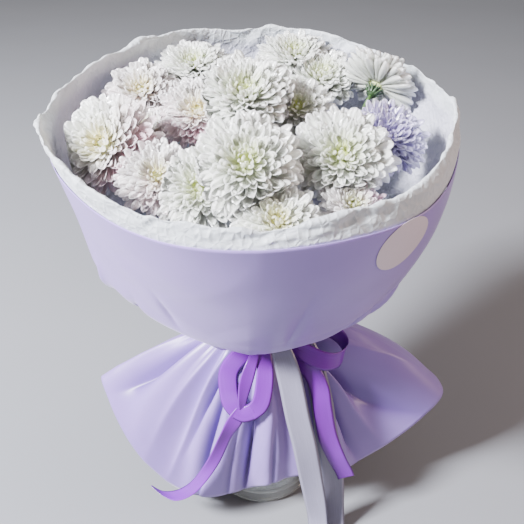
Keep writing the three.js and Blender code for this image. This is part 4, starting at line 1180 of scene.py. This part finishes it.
def wrap_section(angle, s, neck=NECK["bowl"], neck_top=NECK["top"], fold_inset=0,
                 fold_lift=0, rim_inset=0):
    """A point of the upper wrap at height share s: up the neck, out, round the fold, up the wall.

    The fold is a lens: its half width goes with cos^(4/3) and its half depth with sin^(4/3).
    The bend round it is a quadratic curve, and the wall is straight from there to the round
    rim, apart from a bulge 4 d (1 - d) at one corner.
    """
    angle, s = np.broadcast_arrays(angle, s)
    cosine, sine = np.cos(angle), np.sin(angle)
    corner = felt(CORNER, angle)
    fold = np.stack([
        FOLD["x"] + (FOLD["half_width"] - fold_inset) * signed_power(cosine, FOLD["corner"])
        + CORNER["out"] * corner,
        (FOLD["half_depth"] - fold_inset) * signed_power(sine, FOLD["corner"])
        - CORNER["forward"] * corner,
        FOLD["height"] + FOLD["side_lift"] * cosine ** 2 + fold_lift - CORNER["drop"] * corner], -1)
    reach = RIM["radius"] - rim_inset - HOLLOW["rim_inset"] * felt(HOLLOW, angle)
    rim = polar(angle, reach, 0.0, RIM["x"])
    rim[..., 2] = RIM["height"] + RIM["slope"] * rim[..., 1] + 2.2 * np.cos(5 * angle + 0.7)
    base, top = polar(angle, neck, NECK["bottom"]), polar(angle, neck, neck_top)
    start, end = mixed(fold, top, 0.35), mixed(fold, rim, 0.2)
    bulge = polar(angle, BULGE["out"] * felt(BULGE, angle), 0.0)
    k = s[..., None]
    a, b, c, d = ((k - low) / (high - low) for low, high in zip(SECTION, SECTION[1:]))
    return np.select(
        [k < high for high in SECTION[1:4]],
        [mixed(base, top, a), mixed(top, start, b), bezier(start, fold, end, c)],
        mixed(end, rim, d) + 4 * d * (1 - d) * bulge)


def outwards(points):
    """The unit normal of a skin (rows, around, 3) that closes round, pointing outwards."""
    turned = np.roll(points, -1, 1) - np.roll(points, 1, 1)
    raised = np.gradient(points, axis=0)
    return unit(np.cross(turned, raised))


def pinches(angle, t, table):
    """Single folds of a sheet, each a sharp crease along a slanting line.

    Across the line the profile is 1.6 exp(-|x|) less the wide bell 0.5 exp(-(x/3)^2), where x
    is the angle from the line in fold widths, so a shallow dip the other way runs beside the
    crease. Along it a fold swells and fades.
    """
    total = 0.0
    for start_angle, end_angle, start, end, width, depth in table:
        along = np.clip((t - start) / (end - start), 0, 1)
        line = np.radians(mixed(start_angle, end_angle, along))
        off = (angle - line + math.pi) % TURN - math.pi
        x = off / np.radians(width)
        crease = 1.6 * np.exp(-np.sqrt(x ** 2 + 0.01)) - 0.5 * np.exp(-((x / 3) ** 2))
        swell = smooth_step(0, 0.45, along) * (1 - smooth_step(0.5, 1, along))
        total = total + depth * crease * swell
    return total


def rim_wave(angle):
    """How far the wrap's rim stands out of its round line: slow waves, in mm."""
    return 1.5 * np.cos(3 * angle + 2.2) + 0.8 * fold_wave(7 * angle + 0.6 + np.cos(2 * angle))


def rim_shift(angle, s):
    """How the rim's slow wave moves a place on the upper film, by its share of the section."""
    return polar(angle, rim_wave(angle), 0.0) * smooth_step(RIM_WAVE_FROM, 1, s)[..., None]


class BOUQUET_OT_tissue(bpy.types.Operator):
    """Lines the wrap with crumpled tissue whose edge stands up and is folded over outwards"""
    bl_idname = "bouquet.tissue"
    bl_label = "Tissue lining"

    def execute(self, context):
        settings = context.scene.bouquet.wrap
        angle = full_turn(POINTS_ROUND["tissue"])[None]
        lip, over, out = TISSUE["lip"], TISSUE["over"], polar(angle, 1.0, 0.0)
        low = np.linspace(0, lip, TISSUE_ROWS["body"])[:, None]
        body = wrap_section(angle, low / lip, NECK["tissue"], NECK["top"] + TISSUE["neck_lift"],
                            TISSUE["fold_inset"], TISSUE["fold_lift"], TISSUE["inset"])
        stands = (TISSUE["stands"] - LOW_LIP["drop"] * felt(LOW_LIP, angle)
                  + 2.5 * np.cos(3 * angle + 1))
        stands = stands + creases(angle, 0 * angle, EDGE_CREASES)
        lean = HOLLOW["lip_lean"] * felt(HOLLOW, angle) - 3
        # The lip: up, over by a half circle, and down outside to inside the film's rim.
        rise = np.linspace(0, 1, TISSUE_ROWS["rise"])[1:, None]
        turn = np.linspace(0, math.pi, TISSUE_ROWS["turn"])[1:, None]
        drop = np.linspace(0, 1, TISSUE_ROWS["drop"])[1:, None]
        lip_up = body[-1:] + UP * (rise * stands)[..., None] + out * (lean * rise)[..., None]
        top = lip_up[-1:]
        lip_turn = (top + out * (over * (1 - np.cos(turn)))[..., None]
                    + UP * (over * np.sin(turn))[..., None])
        falls = (stands + 3) * drop
        puff = 0.8 * np.sin(math.pi * drop)
        # The film leans in less below its rim at the sides than in front, so there is more room.
        room = 1.25 + 0.7 * np.cos(angle) ** 2 - 0.35 * np.maximum(0, np.sin(angle)) - lean
        lip_down = (lip_turn[-1:] - UP * falls[..., None]
                    + out * (room * np.minimum(1, drop / 0.8) + puff)[..., None])
        points = np.concatenate([body, lip_up, lip_turn, lip_down])
        height = lengths(points)[:, None]
        edge = len(low)
        standing = np.concatenate([smooth_step(0.35, lip, low)[:, 0], np.ones(len(points) - edge)])
        hold = np.ones(len(points))
        # It is held flat where it is tucked into the film.
        hold[-len(drop):] = 1 - 0.95 * smooth_step(0.3, 0.85, drop[:, 0])
        broad = creases(angle, height, BROAD_CREASES)
        fine = creases(angle, height, FINE_CREASES)
        crumple = settings.crumple / MM * (broad + fine * standing[:, None])
        # Outwards no crumple passes 3 mm, so that it stays inside the film.
        crumple = np.where(crumple > 0, 3 * np.tanh(crumple / 3), crumple)
        free = smooth_step(0, 60, height) * mixed(0.35, 1.0, standing)[:, None] * hold[:, None]
        points = points + outwards(points) * (crumple * free)[..., None]
        points = points + out * (rim_wave(angle) * standing[:, None])[..., None]
        white = np.concatenate([np.zeros(edge), smooth_step(0.15, 0.8, rise[:, 0]),
                                np.ones(len(points) - edge - len(rise))])
        part = sheet_part(points, white=white[:, None])
        piece = make_piece("crumpled_tissue", [part], [tissue_material(settings)],
                           "tissue_lining", TISSUE["thickness"])
        return {"FINISHED"}


def film_dent(angle, s, height):
    """How far the upper film stands out of its even shape: soft waves, gathers and pinches."""
    soft = creases(angle, height, FILM_DENTS)
    sharp = creases(angle, height, FILM_CREASES)
    low = 1 - smooth_step(0.1, 0.55, s)
    gathers = (0.9 * fold_wave(19 * angle) + 0.5 * np.cos(31 * angle + 1)) * low
    slack = (soft + sharp) * smooth_step(0.12, 0.5, s) * (1 - smooth_step(0.84, 1, s))
    return slack + gathers * smooth_step(0.08, 0.2, s) + pinches(angle, s, BOWL_PINCHES)


class BOUQUET_OT_film_bowl(bpy.types.Operator):
    """Folds the upper film into its bowl, with the soft dents of a stiff sheet"""
    bl_idname = "bouquet.film_bowl"
    bl_label = "Upper film"

    def execute(self, context):
        settings = context.scene.bouquet.wrap
        angle = full_turn(POINTS_ROUND["bowl"])[None]
        s = np.concatenate([np.linspace(low, high, rows)[:-1] for low, high, rows
                            in zip(SECTION, SECTION[1:], BOWL_ROWS)] + [[1]])[:, None]
        points = wrap_section(angle, s)
        dent = film_dent(angle, s, lengths(points)[:, None])
        points = points + outwards(points) * dent[..., None] + rim_shift(angle, s)
        # Painted shade: the upper film's colour is darker along its inward folds.
        pleat = np.clip(-pinches(angle, s, BOWL_PINCHES) / 9, 0, 1)
        part = sheet_part(points, pleat=pleat)
        piece = make_piece("upper_film", [part], [film_material(settings)],
                           "film_bowl", settings.thickness)
        return {"FINISHED"}


class BOUQUET_OT_film_skirt(bpy.types.Operator):
    """Gathers the lower film at the tie and lets it flare over the jar in folds"""
    bl_idname = "bouquet.film_skirt"
    bl_label = "Lower film"

    def execute(self, context):
        settings = context.scene.bouquet.wrap
        around, reach, height = np.array(HEM, float).T
        hem = spline(polar(np.radians(around), reach, height),
                     full_turn(POINTS_ROUND["skirt"]) / TURN, closed=True)
        angle = np.arctan2(hem[:, 1], hem[:, 0])[None]
        reach = np.hypot(hem[:, 0], hem[:, 1])[None]
        neck = polar(angle, NECK["skirt"], NECK["bottom"])
        band = np.linspace(0, 1, SKIRT_ROWS["band"])[:-1, None]
        top = polar(angle, NECK["skirt"], mixed(NECK["top"] - 4, NECK["bottom"], band))
        t = np.linspace(0, 1, SKIRT_ROWS["flare"])[:, None]
        puff = felt(PUFF, angle)
        shoulder = polar(
            angle, SHOULDER["out"] + SHOULDER["out_gain"] * reach + PUFF["out"] * puff,
            SHOULDER["height"] + SHOULDER["height_gain"] * reach + PUFF["up"] * puff)
        flared = bezier(neck, shoulder, hem[None], t[..., None])
        pleats = PLEAT["depth"] * np.sin(1.9 * t) * (
            np.cos(9 * angle + 0.5) + 0.6 * np.cos(14 * angle + 2.1))
        lift = polar(angle, PLEAT["lean"], PLEAT["lean"])
        gathers = GATHER_DEPTH * np.sin(math.pi * t ** 0.6) * (1 - t) * (
            fold_wave(23 * angle + 1) + fold_wave(31 * angle + 2))
        slack = creases(angle, t * SHOULDER["height"], SKIRT_CREASES)
        folds = pinches(angle, t, SKIRT_PINCHES)
        stands_out = pleats + gathers + folds + slack * smooth_step(0, 0.4, t)
        flared = flared + lift * stands_out[..., None]
        # Where a fold would cut the jar it lies against it.
        short = JAR["radius"] + JAR_CLEARANCE - np.linalg.norm(flared[..., :2], axis=-1)
        low = 1 - smooth_step(JAR["height"] - 2, JAR["height"] + 12, flared[..., 2])
        flared = flared + polar(angle, np.maximum(0, short) * low, 0.0)
        points = np.concatenate([top, flared])[::-1]
        # Painted shade: the lower film is darker all over, more so in its inward folds, towards the
        # tie and on the band under the ribbons.
        deep = 0.3 + np.clip(-folds / 11, 0, 1) + 0.2 * (1 - smooth_step(0, 0.4, t))
        pleat = np.concatenate([np.full(top.shape[:2], 0.5), np.clip(deep, 0, 1)])[::-1]
        part = sheet_part(points, pleat=pleat)
        piece = make_piece("lower_film", [part], [film_material(settings)],
                           "film_skirt", settings.thickness)
        return {"FINISHED"}


class BOUQUET_OT_sticker(bpy.types.Operator):
    """Lays the bare round label on the upper film, curved with it"""
    bl_idname = "bouquet.sticker"
    bl_label = "Label"

    def execute(self, context):
        settings = context.scene.bouquet.wrap
        radius, inside = STICKER["radius"], STICKER["radius"] - STICKER["edge"]
        middle_u, middle_s = STICKER["around"] / 360, mixed(SECTION[3], 1, STICKER["up"])

        def film(u, s):
            """The even film at a share u of the turn and a share s of the section."""
            return wrap_section(u * TURN, s)

        def slopes(u, s, step=1e-3):
            """How the even film moves on with u and with s."""
            return ((film(u + step, s) - film(u - step, s)) / (2 * step),
                    (film(u, s + step) - film(u, s - step)) / (2 * step))

        turned, raised = slopes(middle_u, middle_s)
        angle = full_turn(POINTS_ROUND["label"])[None]
        reach = np.concatenate([np.linspace(0.4, inside, 16), [radius, radius],
                                np.linspace(inside, 0.4, 16)])[:, None]
        lift = np.repeat([STICKER["above"], STICKER["below"]], 17)[:, None]
        u = middle_u + reach * np.cos(angle) / np.linalg.norm(turned)
        s = middle_s + reach * np.sin(angle) / np.linalg.norm(raised)
        places = np.linspace(0, 1, 200)
        height = np.interp(s, places, lengths(film(np.array(middle_u), places)))
        normal = unit(np.cross(*slopes(u, s)))
        points = (film(u, s) + normal * (lift + film_dent(u * TURN, s, height))[..., None]
                  + rim_shift(u * TURN, s))
        make_piece("round_label", [tube_part(points[None])], [label_material(settings)],
                   "round_sticker")
        return {"FINISHED"}


# ------------------------------------------------------------------ ribbons

def strip_part(stations, thickness):
    """A ribbon strip: a smooth line through the stations, each with half its width as a vector.

    It is cut square, and its edges curl up by 0.07 of half the width.
    """
    place = np.array([np.concatenate(pair) for pair in stations], float)
    fine = spline(place, np.linspace(0, 1, POINTS_ALONG["stretch"] * (len(place) - 1) + 1))
    centre, across = fine[:, :3], fine[:, 3:]
    width = np.linalg.norm(across, axis=-1)
    side = unit(across)
    along = unit(np.gradient(centre, axis=0))
    up = unit(np.cross(along, side))
    points, v = blade_points(centre, side, up, width, 0.07 + 0 * width, thickness / MM, across=9)
    length = lengths(centre)[None, :, None]
    return tube_part(points[None], uv=(v[None, None] * 10 * MM, length * MM))


def make_ribbon(context, name, node, slot, colour, table):
    """A ribbon's band round the tie, its knot and its strips, as one piece."""
    settings = context.scene.bouquet.ribbons
    low, high = table["band"]
    inner = NECK["skirt"] + FILM_HALF + RIBBON_GAP
    middle, half = (low + high) / 2, (high - low) / 2
    # The band is a flat ring whose face has three rolls, as ribbon has that is pulled tight.
    up = np.linspace(-1, 1, 15)
    profile = np.concatenate([
        np.stack([inner + 0.5 + 0.45 * np.abs(np.cos(4.2 * up)) * np.sqrt(1 - up ** 2 + 0.01),
                  middle + half * up], -1),
        np.stack([np.full(5, inner), middle + half * np.linspace(1, -1, 5)], -1)])
    angle = full_turn(POINTS_ROUND["band"])
    ring = polar(angle[:, None], profile[None, :, 0], profile[None, :, 1])
    quads, _ = ring_faces(1, *ring.shape[:2], closed=True)
    band_uv = np.stack([(profile[None, :, 1] - middle + 0 * angle[:, None]) * MM,
                        (angle[:, None] * inner + 0 * profile[None, :, 0]) * MM], -1)
    band = {"points": ring.reshape(-1, 3), "faces": [quads[:, ::-1]], "paint": 0,
            "uv": band_uv.reshape(-1, 2), "values": {}}
    # The knot is a squashed ball with slanting rolls.
    width, depth = KNOT["width"], KNOT["depth"]
    down = np.linspace(0.05, math.pi - 0.05, 22)[:, None]
    turn = full_turn(POINTS_ROUND["knot"])[None]
    roll = 1 + 0.1 * np.cos(3 * turn + 2.5 * down) * np.sin(down)
    ball = np.stack([
        table["knot_x"] - np.cos(down) * width / 2 + 0 * turn,
        -(inner + KNOT["gap"] + depth / 2) + np.sin(down) * np.cos(turn) * depth / 2 * roll,
        middle + np.sin(down) * np.sin(turn) * half * 1.15 * roll], -1)
    knot = tube_part(ball[None], uv=(turn[None] * 4 * MM, down[None] * 7 * MM))
    strips = [strip_part(stations, settings.thickness) for stations in table["strips"]]
    piece = make_piece(name, [band, knot, *strips],
                       [satin_material(f"{slot}_ribbon", colour, settings)], node)
    return piece


class BOUQUET_OT_ribbons(bpy.types.Operator):
    """Ties the lilac and the white satin ribbon round the wrap"""
    bl_idname = "bouquet.ribbons"
    bl_label = "Ribbons"

    def execute(self, context):
        settings = context.scene.bouquet.ribbons
        make_ribbon(context, "lilac_satin_bow", "lilac_ribbon", "lilac_satin",
                    np.array(settings.lilac), LILAC_RIBBON)
        make_ribbon(context, "white_satin_tails", "white_ribbon", "white_satin",
                    np.array(settings.white), WHITE_RIBBON)
        return {"FINISHED"}


# ------------------------------------------------------------------ panel and registration

STEPS = ("stage", "jar", "water", "sprays", "blooms", "tissue", "film_bowl", "film_skirt",
         "sticker", "ribbons")


class BOUQUET_PT_panel(bpy.types.Panel):
    """Lists the steps that build the bouquet"""
    bl_idname = "BOUQUET_PT_panel"
    bl_label = "Bouquet"
    bl_space_type = "VIEW_3D"
    bl_region_type = "UI"
    bl_category = "Bouquet"

    def draw(self, context):
        for step in STEPS:
            self.layout.operator(f"bouquet.{step}")
        settings = context.scene.bouquet
        for group in (settings.wrap, settings.blooms, settings.green, settings.jar,
                      settings.ribbons):
            box = self.layout.box()
            for name in group.__annotations__:
                box.prop(group, name)


CLASSES = (
    WrapSettings, BloomSettings, GreenSettings, JarSettings, RibbonSettings, BouquetSettings,
    BOUQUET_OT_stage, BOUQUET_OT_jar, BOUQUET_OT_water, BOUQUET_OT_sprays, BOUQUET_OT_blooms,
    BOUQUET_OT_tissue, BOUQUET_OT_film_bowl, BOUQUET_OT_film_skirt, BOUQUET_OT_sticker,
    BOUQUET_OT_ribbons, BOUQUET_PT_panel,
)


def register():
    for each in CLASSES:
        bpy.utils.register_class(each)
    bpy.types.Scene.bouquet = PointerProperty(type=BouquetSettings)


def unregister():
    del bpy.types.Scene.bouquet
    for each in reversed(CLASSES):
        bpy.utils.unregister_class(each)


def main():
    """Builds the bouquet step by step."""
    register()
    for step in STEPS:
        getattr(bpy.ops.bouquet, step)()
    bpy.context.view_layer.update()


if __name__ == "__main__":
    main()
